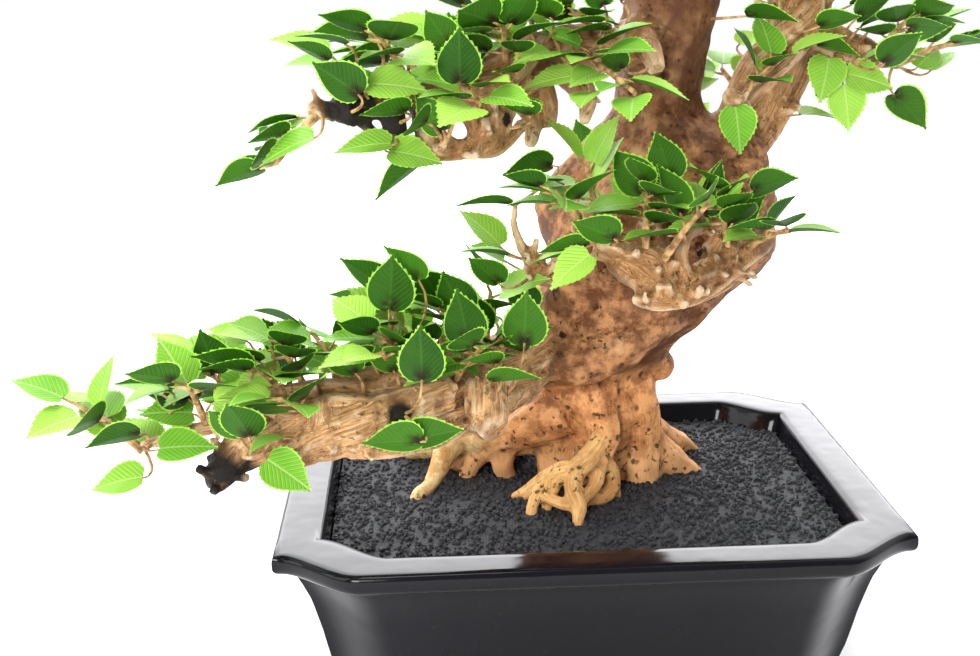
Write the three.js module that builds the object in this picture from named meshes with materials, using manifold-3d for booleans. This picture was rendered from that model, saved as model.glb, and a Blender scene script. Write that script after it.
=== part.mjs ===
// An old Chinese elm trained as a bonsai, in a black glazed pot with indented corners.
// Millimetres, +Z up, the ground at z = 0, and -Y is the side that the tree is viewed from.
import * as THREE from "three";
import { mergeVertices } from "three/addons/utils/BufferGeometryUtils.js";
import Module from "manifold-3d";

const wasm = await Module();
wasm.setup();

// Driving dimensions
const POT_WIDTH = 264;
const POT_DEPTH = 212;
const POT_HEIGHT = 90;
const FOOT_HEIGHT = 9;
const FLOOR_TOP = 17;
const DRAIN_RADIUS = 6.5;
const DRAIN_OFFSET = 46;
const SOIL_EDGE = 80.5; // height of the soil where it meets the pot
const SOIL_RISE = 2.5; // how much higher the soil lies at the trunk
const SOIL_GRAIN = 1.6; // unevenness of its surface
const LEAF_LENGTH = 20;
const LEAF_WIDTH = 14.6;
const PETIOLE = 6;
const RIB_THICK = 1.2;
const FIT_GAP = 0.4; // between pieces that stand in or on each other

const UP = new THREE.Vector3(0, 0, 1);
const DEG = Math.PI / 180;
const GOLDEN_ANGLE = 137.508 * DEG;

const material = (color, roughness, metalness = 0) =>
  new THREE.MeshStandardMaterial({ color, roughness, metalness });
const glaze = material(0x17181b, 0.15);
const grit = material(0x2b2c2f, 0.95);
const plasticMesh = material(0x1d2a22, 0.6);
const bark = material(0xa9703f, 0.6);
const leafGreen = material(0x3f8f2c, 0.5);

// A seeded run of draws from 0 to 1, the same on every machine.
function draws(seed) {
  let state = seed;
  return () => {
    state = (state * 16807) % 2147483647;
    return state / 2147483647;
  };
}

// A smooth run through rows of numbers (uniform Catmull-Rom), at t from 0 to 1.
function through(rows, t) {
  const last = rows.length - 1;
  const s = Math.min(Math.floor(t * last), last - 1);
  const u = t * last - s;
  const at = (i, k) => {
    if (i < 0) return 2 * rows[0][k] - rows[1][k];
    if (i > last) return 2 * rows[last][k] - rows[last - 1][k];
    return rows[i][k];
  };
  return rows[0].map((_, k) => {
    const [a, b, c, d] = [at(s - 1, k), at(s, k), at(s + 1, k), at(s + 2, k)];
    const bend = 2 * a - 5 * b + 4 * c - d;
    const twist = 3 * b - a - 3 * c + d;
    return 0.5 * (2 * b + (c - a) * u + bend * u * u + twist * u * u * u);
  });
}

const point = (row) => new THREE.Vector3(row[0], row[1], row[2]);

// A closed mesh, given as corner points and triangles, as a solid.
function solidOf(corners, triangles) {
  const geometry = new THREE.BufferGeometry();
  const flat = corners.flatMap((p) => [p.x, p.y, p.z]);
  geometry.setAttribute("position", new THREE.Float32BufferAttribute(flat, 3));
  geometry.setIndex(triangles.flat());
  return solidOfGeometry(geometry);
}

function solidOfGeometry(geometry) {
  const bare = geometry.clone();
  bare.deleteAttribute("normal");
  bare.deleteAttribute("uv");
  const merged = mergeVertices(bare, 1e-4);
  return new wasm.Manifold(
    new wasm.Mesh({
      numProp: 3,
      vertProperties: new Float32Array(merged.attributes.position.array),
      triVerts: new Uint32Array(merged.index.array),
    }),
  );
}

function meshOf(name, solid, look) {
  const { vertProperties, triVerts, numProp } = solid.getMesh();
  const geometry = new THREE.BufferGeometry();
  const positions = [];
  for (let i = 0; i < vertProperties.length; i += numProp) {
    positions.push(vertProperties[i], vertProperties[i + 1], vertProperties[i + 2]);
  }
  geometry.setAttribute("position", new THREE.Float32BufferAttribute(positions, 3));
  geometry.setIndex(Array.from(triVerts));
  geometry.computeVertexNormals();
  const mesh = new THREE.Mesh(geometry, look);
  mesh.name = name;
  return mesh;
}

const joined = (solids) => solids.reduce((whole, next) => whole.add(next));

// The largest body of a solid, so that crumbs that were cut off from it are dropped.
const largest = (solid) => solid.decompose().reduce((a, b) => (b.volume() > a.volume() ? b : a));

// Rings of equally many points, counter-clockwise seen from above or from the far end, skinned and capped.
function loft(rings) {
  const sides = rings[0].length;
  const triangles = [];
  for (let r = 0; r + 1 < rings.length; r++) {
    for (let i = 0; i < sides; i++) {
      const a = r * sides + i;
      const b = r * sides + ((i + 1) % sides);
      triangles.push([a, b, b + sides], [a, b + sides, a + sides]);
    }
  }
  const corners = rings.flat();
  const flatRing = (ring) => {
    const origin = ring[0];
    const e1 = ring[1].clone().sub(origin).normalize();
    const turn = new THREE.Vector3();
    for (let i = 0; i < sides; i++) {
      turn.add(ring[i].clone().sub(origin).cross(ring[(i + 1) % sides].clone().sub(origin)));
    }
    const e2 = turn.normalize().cross(e1);
    const plan = ring.map((p) => {
      const d = p.clone().sub(origin);
      return new THREE.Vector2(d.dot(e1), d.dot(e2));
    });
    return THREE.ShapeUtils.triangulateShape(plan, []);
  };
  const top = (rings.length - 1) * sides;
  for (const [a, b, c] of flatRing(rings[0])) triangles.push([c, b, a]);
  for (const [a, b, c] of flatRing(rings[rings.length - 1])) {
    triangles.push([top + a, top + b, top + c]);
  }
  return solidOf(corners, triangles);
}

// Pot

// The pot's plan, inset from the rim's outer edge: straight sides, and corners drawn in by an S curve.
function potPlan(inset, z, between = 0) {
  const a = POT_WIDTH / 2 - inset;
  const b = POT_DEPTH / 2 - inset;
  const cutX = 36 - inset / 3;
  const cutY = 22 - inset / 12;
  const steps = 4;
  const corner = [];
  for (let i = 0; i <= steps; i++) {
    const u = i / steps;
    corner.push([a - cutX * u, b - cutY * (1 - u * u * (3 - 2 * u))]);
  }
  const mirrored = (sx, sy, back) => {
    const run = corner.map(([x, y]) => [sx * x, sy * y]);
    return back ? run.reverse() : run;
  };
  const turns = [
    mirrored(1, 1, false),
    mirrored(-1, 1, true),
    mirrored(-1, -1, false),
    mirrored(1, -1, true),
  ];
  const plan = [];
  turns.forEach((turn, i) => {
    plan.push(...turn);
    const from = turn[turn.length - 1];
    const to = turns[(i + 1) % 4][0];
    for (let k = 1; k <= between; k++) {
      const u = k / (between + 1);
      plan.push([from[0] + (to[0] - from[0]) * u, from[1] + (to[1] - from[1]) * u]);
    }
  });
  return plan.map(([x, y]) => new THREE.Vector3(x, y, z));
}

// Height and inset of the glazed shell: the flared outside, the lip, the flat rim, then the inside wall.
const SHELL = [
  [FOOT_HEIGHT, 27],
  [30, 21.4],
  [48, 17.8],
  [60, 15],
  [69, 12.2],
  [75, 9.8],
  [79, 8.5],
  [80.5, 3],
  [83.5, 0],
  [88.4, 0],
  [POT_HEIGHT, 1.6],
  [POT_HEIGHT, 18],
  [88.4, 19.2],
  [60, 27],
  [24, 37],
  [FLOOR_TOP, 42],
];

function prism(outline, holes, bottom, top) {
  const shape = new THREE.Shape(outline.map((p) => new THREE.Vector2(p.x, p.y)));
  shape.holes = holes.map((hole) => new THREE.Path(hole.map((p) => new THREE.Vector2(p.x, p.y))));
  const geometry = new THREE.ExtrudeGeometry(shape, { depth: top - bottom, bevelEnabled: false });
  return solidOfGeometry(geometry.translate(0, 0, bottom));
}

function block(x, y, z, width, depth, height) {
  const geometry = new THREE.BoxGeometry(width, depth, height);
  return solidOfGeometry(geometry.translate(x, y, z + height / 2));
}

function rod(x, y, z, radius, height, sides) {
  const geometry = new THREE.CylinderGeometry(radius, radius, height, sides);
  return solidOfGeometry(geometry.rotateX(Math.PI / 2).translate(x, y, z + height / 2));
}

function makePot() {
  const shell = loft(SHELL.map(([z, inset]) => potPlan(inset, z)));
  const footGap = { x: 132, y: 96 };
  const ring = prism(potPlan(28.5, 0), [potPlan(43, 0)], 0, FOOT_HEIGHT + 1);
  const feet = ring
    .subtract(block(0, 0, -1, footGap.x, POT_DEPTH, FOOT_HEIGHT + 1))
    .subtract(block(0, 0, -1, POT_WIDTH, footGap.y, FOOT_HEIGHT + 1))
    .subtract(block(0, 0, FOOT_HEIGHT + 0.5, POT_WIDTH, POT_DEPTH, 2));
  const drains = [-1, 1].map((side) => rod(side * DRAIN_OFFSET, 0, 0, DRAIN_RADIUS, 30, 16));
  return joined([shell, feet]).subtract(joined(drains));
}

// Drain screens: a square of plastic net on the floor over each drain hole.

const NET = { holes: 3, hole: 4, bar: 1.6, thick: 1.2 };
const NET_SIDE = NET.holes * NET.hole + (NET.holes + 1) * NET.bar;
const NET_BOTTOM = FLOOR_TOP + 0.3;

function makeScreen(x) {
  const pitch = NET.hole + NET.bar;
  const plate = block(x, 0, NET_BOTTOM, NET_SIDE, NET_SIDE, NET.thick);
  const holes = [];
  for (let i = 0; i < NET.holes; i++) {
    for (let j = 0; j < NET.holes; j++) {
      const [dx, dy] = [i, j].map((n) => (n - (NET.holes - 1) / 2) * pitch);
      holes.push(block(x + dx, dy, NET_BOTTOM - 1, NET.hole, NET.hole, NET.thick + 2));
    }
  }
  return plate.subtract(joined(holes));
}

// Wood

// Trunk stations: height, centre x and y, half width and half depth. The column leaves the burl at 250 mm.
const TRUNK = [
  [64, 8, 13, 20, 17],
  [88, 8, 13, 24, 18],
  [104, 7.5, 12.5, 27, 20],
  [122, 7, 11, 29, 22],
  [136, 6, 10, 31, 24],
  [147, 7, 8, 35, 29],
  [159, 11, 5, 40, 33],
  [175, 24, 3, 44.5, 37],
  [192, 37.5, 2, 50, 40],
  [212, 36.5, 2, 50.5, 40],
  [229, 42, 4, 46, 37],
  [243, 45, 5, 37, 31],
  [253, 37, 4, 20.5, 22],
  [270, 36.5, 3, 18, 18.5],
  [300, 40.5, 2, 19.5, 17.5],
  [322, 39, 1, 16.5, 15],
  [346, 31, -2, 13.5, 12.5],
  [368, 21, -6, 10, 9.5],
  [388, 15, -9, 6.5, 6.5],
  [402, 13, -11, 3, 3],
];

// The swellings of the trunk, as a share of its radius, at an angle and a height.
function burl(angle, z) {
  return (
    0.05 * Math.sin(3 * angle + 0.045 * z + 0.8) +
    0.04 * Math.sin(5 * angle - 0.07 * z + 2.1) +
    0.03 * Math.sin(2 * angle + 0.11 * z + 4)
  );
}

function trunkRing(t, sides, grow) {
  const [z, x, y, rx, ry] = through(TRUNK, t);
  const ring = [];
  for (let i = 0; i < sides; i++) {
    const angle = (i / sides) * 2 * Math.PI;
    const m = 1 + burl(angle, z);
    ring.push(
      new THREE.Vector3(
        x + (rx * m + grow) * Math.cos(angle),
        y + (ry * m + grow) * Math.sin(angle),
        z,
      ),
    );
  }
  return ring;
}

function makeTrunk(rings, sides, grow = 0) {
  const stack = [];
  for (let i = 0; i <= rings; i++) stack.push(trunkRing(i / rings, sides, grow));
  for (const p of stack[0]) p.z -= grow;
  return loft(stack);
}

// A grown stem: a tapering tube through rows of x, y, z and radius, a little lumpy.
// Seen along the stem, its rings are level with the reference direction.
function grown(rows, { steps, sides, lump = 0.1, grow = 0, reference = UP }) {
  const rings = [];
  for (let i = 0; i <= steps; i++) {
    const t = i / steps;
    const row = through(rows, t);
    const ahead = point(through(rows, Math.min(t + 0.01, 1)));
    const behind = point(through(rows, Math.max(t - 0.01, 0)));
    const along = ahead.sub(behind).normalize();
    const side = new THREE.Vector3().crossVectors(along, reference).normalize();
    const over = new THREE.Vector3().crossVectors(side, along);
    const ring = [];
    for (let k = 0; k < sides; k++) {
      const angle = (k / sides) * 2 * Math.PI;
      const wave = Math.sin(2 * angle + 9 * t + rows[0][0]) + Math.sin(3 * angle - 13 * t + rows[0][1]);
      const radius = row[3] * (1 + 0.5 * lump * wave) + grow;
      const centre = point(row);
      if (grow > 0 && i === steps) centre.addScaledVector(along, grow);
      ring.push(
        centre
          .addScaledVector(side, radius * Math.cos(angle))
          .addScaledVector(over, -radius * Math.sin(angle)),
      );
    }
    rings.push(ring);
  }
  return loft(rings);
}

// The burl's hem, which hangs over the lower trunk and climbs to the right.
const BURL_HEM = [
  [-37, -12, 153, 8], [-25, -21, 148, 10], [-7, -24, 149.5, 11], [10, -24, 154, 11.5], [24, -20, 161, 12],
  [37, -13, 169, 12], [49, -4, 180, 11],
];

// Surface roots, from the foot of the trunk out to where they go under. The last two are pale.
const ROOTS = [
  [[-4, 0, 120, 13], [-18, 4, 112, 10.5], [-32, 10, 102, 8], [-45, 17, 94, 6.2], [-61, 27, 76, 3.5]],
  [[-26, 6, 103, 6.5], [-34, 9, 90, 5], [-29, 18, 76, 3.4]],
  [[-44, 15, 94, 5.5], [-49, 13, 86, 4.2], [-52, 15, 76, 3]],
  [[4, -6, 130, 12], [9, -14, 120, 8.5], [11, -18, 112, 7.2], [7, -22, 104, 6.4], [3, -22, 94, 6]],
  [[24, 6, 130, 14], [29, 4, 114, 11.5], [31, 5, 98, 10.5], [32, 4, 86, 9.5], [33, 4, 74, 8]],
  [[30, 8, 104, 10], [39, 9, 94, 8.5], [48, 11, 87, 7], [57, 12.5, 81, 5], [64, 13, 75, 3]],
  [[30, 16, 104, 12], [44, 26, 94, 8], [56, 36, 87, 5.5], [66, 46, 77, 3.5]],
  [[12, 30, 104, 12], [16, 46, 94, 8.5], [20, 60, 87, 6], [24, 74, 77, 3.5]],
  [[-10, 24, 104, 12], [-26, 38, 95, 9], [-42, 50, 88, 6.5], [-58, 60, 84, 4.5], [-72, 66, 76, 3]],
  [[-14, 14, 103, 10], [-34, 24, 94, 7], [-48, 34, 88, 5.5], [-60, 42, 77, 3.6]],
  [[-34, 10, 102, 6], [-46, 14, 101, 5.5], [-55, 18, 97, 5.4], [-65, 28, 92, 5], [-85, 53, 76, 2.6]],
  [[-55, 14, 101, 6], [-61, 10, 95, 5.6], [-64, 4, 90, 4.6], [-68, -3, 85, 3.2], [-76, -15, 76, 2.6]],
];

// The tangle of pale roots at the front, which runs together again in places.
const ROOT_NET = [
  [[8, -22, 110, 5.2], [3, -26, 105, 5.2], [-3, -31, 101, 4.6], [-5, -36, 94, 3.9], [-5, -48, 76, 2.4]],
  [[5, -24, 107, 4.4], [12, -20, 97, 4], [16, -19, 87, 3.4], [16, -17, 76, 2.4]],
  [[14, -19, 92, 3.4], [8, -27, 87, 3.2], [-4, -37, 86, 2.9]],
  [[-2, -30, 102, 4.2], [-10, -28, 100, 4], [-22, -19, 88, 3.7], [-30, -13, 81, 2.8]],
  [[-14, -26, 97, 3.6], [-20, -30, 91, 3.1], [-24, -35, 76, 2.4]],
  [[-10, -29, 99, 3.6], [-14, -30, 91, 3.1], [-16, -28, 76, 2.3]],
];

// Limbs and the gnarled strands that run along or hang under them.
const LIMBS = {
  rightLeader: [[60, 8, 222, 22], [73, 9, 240, 16.5], [83, 11, 257, 14], [91, 13, 274, 14],
    [97, 15, 292, 14.5], [103, 17, 309, 11.5], [113, 19, 323, 8.5], [132, 20, 332, 6], [156, 20, 336, 3.6]],
  rightBranch: [[94, 12, 285, 9], [112, 10, 281, 7.5], [130, 12, 276, 5.5], [148, 20, 271, 3.6]],
  crotchStub: [[70, 4, 248, 8], [66, -12, 257, 5.5], [61, -24, 263, 4]],
  lowLeft: [[-6, -4, 155, 17], [-30, -35, 150, 14.5], [-56, -66, 152, 12.5], [-88, -82, 147, 11.5],
    [-112, -96, 149, 9], [-134, -100, 140, 7], [-150, -108, 134, 4.6]],
  lowLeftOver: [[-30, -32, 160, 9], [-52, -54, 162, 7.5], [-78, -72, 160, 6.5], [-104, -84, 157, 5.5],
    [-130, -92, 154, 4.2], [-156, -98, 150, 3], [-176, -104, 146, 2.2]],
  lowLeftUnder: [[-22, -38, 144, 7], [-44, -64, 141, 5.5], [-70, -86, 140, 5.5], [-98, -100, 140, 4.6]],
  tongue: [[-60, -78, 156, 8], [-81, -91, 153, 9.5], [-94, -94, 149, 11], [-107, -98, 146, 10.5],
    [-127, -104, 138, 4]],
  holedLump: [[-44, -74, 156, 8], [-44, -82, 151, 8.5], [-45, -86, 145, 8.5], [-49, -89, 141, 4.5]],
  blackEnd: [[-134, -98, 146, 8.4], [-143, -104, 139, 7], [-148, -110, 130, 3]],
  claw: [[76, -6, 216, 15], [72, -28, 207, 12], [60, -48, 200, 10], [46, -63, 194, 8.5],
    [32, -72, 190, 6.5], [13, -78, 191, 2.4]],
  clawRing: [[66, -34, 208, 6.5], [54, -48, 206, 5], [45, -58, 203, 4.6], [38, -68, 196, 4.6]],
  clawNet: [[2, -58, 206, 4], [9, -64, 206, 3.6], [18, -68, 207, 3.6], [26, -70, 203, 3.2],
    [29, -71, 196, 3.6]],
  frontBasket: [[30, -28, 206, 12], [22, -54, 206, 7.5], [8, -68, 211, 5], [-4, -74, 217, 3.4]],
  hookTwig: [[-4, -28, 194, 6.8], [-18, -44, 194, 4.8], [-26, -50, 206, 2.6], [-32, -54, 217, 1.8],
    [-29, -51, 226, 1.4]],
  upLeft: [[34, 0, 289, 13], [12, -28, 283, 10.5], [-16, -50, 284, 10], [-42, -70, 274, 9],
    [-66, -80, 276, 6.5], [-88, -92, 268, 5], [-108, -93, 269, 3]],
  dropOne: [[-10, -48, 277, 6], [-3, -62, 269, 4], [-5, -72, 259, 2.2]],
  dropTwo: [[-34, -66, 274, 7], [-36, -76, 262, 4.8], [-46, -83, 254, 3.8], [-60, -86, 251, 2.8],
    [-78, -89, 255, 2.2], [-92, -91, 266, 2.4]],
  dropThree: [[-62, -80, 271, 6], [-66, -88, 261, 4.2], [-60, -88, 253, 2.8]],
  back: [[44, 20, 217, 15], [49, 46, 213, 11], [56, 74, 210, 8], [62, 96, 208, 5], [66, 114, 207, 3]],
  backFork: [[51, 54, 212, 6.5], [34, 76, 211, 4.6], [20, 90, 210, 3]],
  crownLeft: [[40, 0, 316, 11], [16, -14, 325, 8.5], [-12, -26, 331, 6.5], [-38, -34, 333, 4.6],
    [-56, -38, 332, 3]],
  crownBack: [[38, 2, 328, 9.5], [48, 26, 337, 7], [54, 46, 342, 5], [56, 62, 343, 3.2]],
  apexRight: [[22, -4, 364, 7], [42, -8, 375, 5], [58, -10, 380, 3.2]],
  apexLeft: [[17, -8, 378, 6], [-4, -16, 387, 4.2], [-20, -20, 390, 3]],
};
const TRUNK_RINGS = 20;
const TRUNK_SIDES = 10;
const ROOT_MESH = { steps: 4, sides: 5 };
const NET_MESH = { steps: 4, sides: 4 };
const HEM_MESH = { steps: 5, sides: 5 };
const LIMB_SIDES = {
  rightLeader: [8, 8], lowLeft: [8, 8], lowLeftOver: [7, 6], lowLeftUnder: [6, 6], claw: [7, 6],
  upLeft: [8, 7], back: [5, 7], hookTwig: [6, 4],
};

// Foliage pads: the oval that each one covers, its height, how far it domes, leans and rises to the front, the
// limbs that carry it, how far back its stems leave them, and how many sprays of how many leaves grow there.
const PADS = [
  { name: "low_left", at: [-106, -86, 162], along: [-0.955, -0.296], long: 92, wide: 38, dome: 12, lean: -12, rise: 22,
    on: ["lowLeft", "lowLeftOver", "lowLeftUnder"], back: 14, sprays: 15, leaves: 6 },
  { name: "middle", at: [26, -70, 223], along: [-0.97, -0.1], long: 52, wide: 28, dome: 10, lean: 0, rise: 8,
    on: ["claw", "clawNet", "frontBasket", "hookTwig"], back: 8, sprays: 7, leaves: 6 },
  { name: "up_left", at: [-46, -76, 275], along: [-0.97, -0.24], long: 76, wide: 40, dome: 10, lean: -6, rise: 0,
    on: ["upLeft"], back: 12, sprays: 9, leaves: 6 },
  { name: "right", at: [118, 8, 268], along: [0.99, 0.12], long: 62, wide: 34, dome: 14, lean: 4, rise: 0,
    on: ["rightBranch", "rightLeader", "crotchStub"], back: 0, sprays: 6, leaves: 5 },
  { name: "right_high", at: [161, 20, 340], along: [0.99, 0.1], long: 56, wide: 34, dome: 12, lean: -6, rise: 0,
    on: ["rightLeader"], back: 8, sprays: 3, leaves: 5 },
  { name: "back", at: [54, 97, 216], along: [0.35, 0.94], long: 49, wide: 38, dome: 12, lean: -4, rise: 0,
    on: ["back", "backFork"], back: 8, sprays: 3, leaves: 5 },
  { name: "crown_left", at: [-28, -32, 343], along: [-0.95, -0.3], long: 44, wide: 32, dome: 12, lean: -6, rise: 0,
    on: ["crownLeft"], back: 8, sprays: 3, leaves: 5 },
  { name: "crown_back", at: [54, 50, 353], along: [0.3, 0.95], long: 34, wide: 32, dome: 12, lean: -4, rise: 0,
    on: ["crownBack"], back: 6, sprays: 3, leaves: 5 },
  { name: "apex", at: [18, -11, 398], along: [1, 0.05], long: 50, wide: 42, dome: 18, lean: 0, rise: 0,
    on: ["apexLeft", "apexRight"], back: 4, sprays: 5, leaves: 5 },
];
const STEM_LEAST = 27; // from a limb's middle to the tip of a spray
const STEM_FOOT = 1.7; // radius of a leafy stem at the middle of its limb, then at its tip
const STEM_TIP = 0.9;
const LEAFY_SHARE = 0.6; // how much of a stem has leaves

// The nearest point to a place on the middle lines of a pad's limbs.
function nearestHost(pad, place) {
  let best = null;
  for (const limb of pad.on) {
    for (let i = 2; i <= 20; i++) {
      const row = through(LIMBS[limb], i / 20);
      const gap = point(row).distanceTo(place);
      if (!best || gap < best.gap) best = { gap, row };
    }
  }
  return point(best.row);
}

// Where each spray of a pad starts and ends: spread over the oval like seeds in a sunflower.
function planSprays(pad, index) {
  const next = draws(1009 + 37 * index);
  const along = new THREE.Vector3(pad.along[0], pad.along[1], 0).normalize();
  const across = new THREE.Vector3().crossVectors(UP, along);
  const start = point(pad.at).addScaledVector(along, -1.3 * pad.long);
  const plans = [];
  for (let k = 0; k < pad.sprays; k++) {
    const reach = Math.sqrt((k + 0.6) / pad.sprays);
    const turn = k * GOLDEN_ANGLE + index;
    const tip = point(pad.at)
      .addScaledVector(along, pad.long * reach * Math.cos(turn))
      .addScaledVector(across, pad.wide * reach * Math.sin(turn));
    tip.z += pad.dome * (1 - 1.9 * reach * reach) + pad.lean * reach * Math.cos(turn) + 5 * (next() - 0.5);
    tip.z += pad.rise * reach * Math.max(0, Math.sin(turn));
    const outward = tip.clone().sub(start).setZ(0).normalize();
    const host = nearestHost(pad, tip.clone().addScaledVector(outward, -pad.back));
    if (host.distanceTo(tip) < STEM_LEAST) {
      const away = tip.clone().sub(host);
      away.z += tip.z > host.z - 6 ? STEM_LEAST / 2 : -STEM_LEAST / 4;
      tip.copy(host).addScaledVector(away.normalize(), STEM_LEAST);
    }
    plans.push({
      name: `spray_${pad.name}_${String(k + 1).padStart(2, "0")}`,
      host,
      tip,
      outward,
      leaves: pad.leaves,
      seed: 5000 + 211 * index + 17 * k,
    });
  }
  return plans;
}

function makeWood() {
  const parts = [makeTrunk(TRUNK_RINGS, TRUNK_SIDES), grown(BURL_HEM, HEM_MESH)];
  for (const rows of ROOTS) parts.push(grown(rows, ROOT_MESH));
  for (const rows of ROOT_NET) parts.push(grown(rows, NET_MESH));
  for (const [name, rows] of Object.entries(LIMBS)) {
    const [steps, sides] = LIMB_SIDES[name] || [4, 4];
    const upright = Math.abs(rows.at(-1)[2] - rows[0][2]) > 40;
    const reference = upright ? new THREE.Vector3(0, 1, 0) : UP;
    parts.push(grown(rows, { steps, sides, reference, lump: 0.16 }));
  }
  return joined(parts);
}

// What stands in the soil, a little larger than the wood itself, so that it can be taken out of the soil.
function makePlanting() {
  const above = block(0, 0, POT_HEIGHT + 10, 2 * POT_WIDTH, 2 * POT_DEPTH, 2 * POT_WIDTH);
  const parts = [makeTrunk(TRUNK_RINGS, TRUNK_SIDES, FIT_GAP).subtract(above)];
  for (const rows of ROOTS) parts.push(grown(rows, { ...ROOT_MESH, grow: FIT_GAP }));
  for (const rows of ROOT_NET) parts.push(grown(rows, { ...NET_MESH, grow: FIT_GAP }));
  return joined(parts);
}

// Soil

// Coarse dark grit, lowest at the pot wall and heaped a little round the trunk.
function makeSoil() {
  const next = draws(77);
  const wall = [
    [FLOOR_TOP + 0.3, 42.5],
    [24, 37.5],
    [60, 27.5],
    [SOIL_EDGE, 21.8],
  ];
  const rings = wall.map(([z, inset]) => potPlan(inset, z, 1));
  for (const inset of [32, 48]) {
    const height = SOIL_EDGE + SOIL_RISE * ((inset - 22) / 44);
    const ring = potPlan(inset, height, 1);
    for (const p of ring) p.z += SOIL_GRAIN * (next() - 0.5);
    rings.push(ring);
  }
  rings.push(potPlan(66, SOIL_EDGE + SOIL_RISE, 1));
  const pockets = [-1, 1].map((side) =>
    block(side * DRAIN_OFFSET, 0, FLOOR_TOP, NET_SIDE + 0.8, NET_SIDE + 0.8, 0.6 + NET.thick),
  );
  return loft(rings).subtract(joined(pockets));
}

// Leaves

// One side of the blade's edge: share of the length, share of the half width. A tooth ends in a step back in.
const EDGE = [
  [0.01, 0.1],
  [0.19, 0.95],
  [0.26, 0.85],
  [0.47, 1.05],
  [0.54, 0.86],
  [0.77, 0.68],
];
const RIB_AT = 0.5;
const LIGHT = new THREE.Vector3(0, 0.4, 1); // where the leaves turn their upper faces
const LEVELLING = 0.75; // of the slope that a leaf would have from its stem alone
const SPREADING = 0.6; // how far the leaves of a pad turn the way that it spreads, beside their stem's own way
const LEAST_OUTWARD = 0.4; // how squarely a leaf leaves the side of its stem, at least
const BLADE_CORNERS = 5 + 2 * EDGE.length;

// The blade of a leaf in its own frame: foot of its stalk at the origin, rib along X, upper face up Z.
// It folds up along the rib and droops to its tip. The foot's own corners come last.
function bladeCorners(length) {
  const scale = length / LEAF_LENGTH;
  const half = (LEAF_WIDTH / 2) * scale;
  const place = (s, y, lift) => {
    const fold = 0.24 * Math.abs(y);
    const droop = 0.16 * s * s * length;
    return new THREE.Vector3(PETIOLE + s * length, y, fold - droop + lift);
  };
  const corners = [
    place(0, 0, RIB_THICK / 2),
    place(0, 0, -RIB_THICK / 2),
    place(RIB_AT, 0, RIB_THICK / 2),
    place(RIB_AT, 0, -RIB_THICK / 2),
    place(1, 0, 0),
  ];
  for (const side of [1, -1]) {
    for (const [s, w] of EDGE) corners.push(place(s, side * w * half, 0));
  }
  return corners;
}

// Triangles of the blade and its stalk. After the blade's corners come the foot's left, right and lower one.
function leafTriangles() {
  const [topBase, lowBase, topMid, lowMid, tip] = [0, 1, 2, 3, 4];
  const [footLeft, footRight, footLow] = [0, 1, 2].map((i) => BLADE_CORNERS + i);
  const triangles = [[footLeft, footRight, topBase]];
  for (const side of [0, 1]) {
    const edge = EDGE.map((_, i) => 5 + side * EDGE.length + i);
    const foot = side ? footRight : footLeft;
    const add = (a, b, c) => triangles.push(side ? [a, b, c] : [a, c, b]);
    for (const [base, mid, over] of [
      [topBase, topMid, true],
      [lowBase, lowMid, false],
    ]) {
      const face = (a, b, c) => (over ? add(a, b, c) : add(a, c, b));
      face(base, edge[0], edge[1]);
      face(base, edge[1], edge[2]);
      face(base, edge[2], mid);
      face(mid, edge[2], edge[3]);
      face(mid, edge[3], edge[4]);
      face(mid, edge[4], edge[5]);
      face(mid, edge[5], tip);
    }
    add(foot, edge[0], topBase);
    add(foot, lowBase, edge[0]);
    add(foot, footLow, lowBase);
  }
  return triangles;
}

const LEAF_TRIANGLES = leafTriangles();
const FOOT = [
  [0, 0.5, 0.3],
  [0, -0.5, 0.3],
  [0, 0, -0.6],
].map(point);

// Corners set on a stem: rib along `ahead`, upper face towards `face`, swollen by a share for a trial.
function setOnStem(corners, { root, ahead, face }, swell = 0) {
  const across = new THREE.Vector3().crossVectors(face, ahead);
  return corners.map((p) =>
    root
      .clone()
      .addScaledVector(ahead, p.x * (1 + swell))
      .addScaledVector(across, p.y * (1 + swell))
      .addScaledVector(face, p.z + Math.sign(p.z) * swell * 4),
  );
}

// A leaf as a solid of its own, a little larger than life, to try against what already stands there.
function trialLeaf(place) {
  const corners = setOnStem([...bladeCorners(place.length), ...FOOT], place, 0.06);
  const [left, right, low] = [corners.length - 3, corners.length - 2, corners.length - 1];
  return solidOf(corners, [...LEAF_TRIANGLES, [left, low, right]]);
}

// The line of a spray's stem, from the middle of its limb to its tip. Later tries swing aside and stand up.
function stemRows({ host, tip }, attempt) {
  const swing = (attempt % 2 ? 1 : -1) * Math.ceil(attempt / 2);
  const way = tip.clone().sub(host).applyAxisAngle(UP, swing * 16 * DEG);
  way.z += 2.5 * Math.abs(swing);
  const end = host.clone().add(way);
  const middle = host.clone().addScaledVector(way, 0.5);
  middle.z += 0.05 * way.length();
  return [
    [...host.toArray(), STEM_FOOT],
    [...middle.toArray(), (STEM_FOOT + STEM_TIP) / 2],
    [...end.toArray(), STEM_TIP],
  ];
}

// The stem's own directions at t: along it, to its left and up from it.
function stemFrame(rows, t) {
  const at = point(through(rows, t));
  const along = point(through(rows, Math.min(t + 0.02, 1)));
  along.sub(point(through(rows, Math.max(t - 0.02, 0)))).normalize();
  const sky = Math.abs(along.z) > 0.8 ? new THREE.Vector3(0, -1, 0) : UP;
  const left = new THREE.Vector3().crossVectors(sky, along).normalize();
  const over = new THREE.Vector3().crossVectors(along, left);
  return { at, along, left, over };
}

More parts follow.
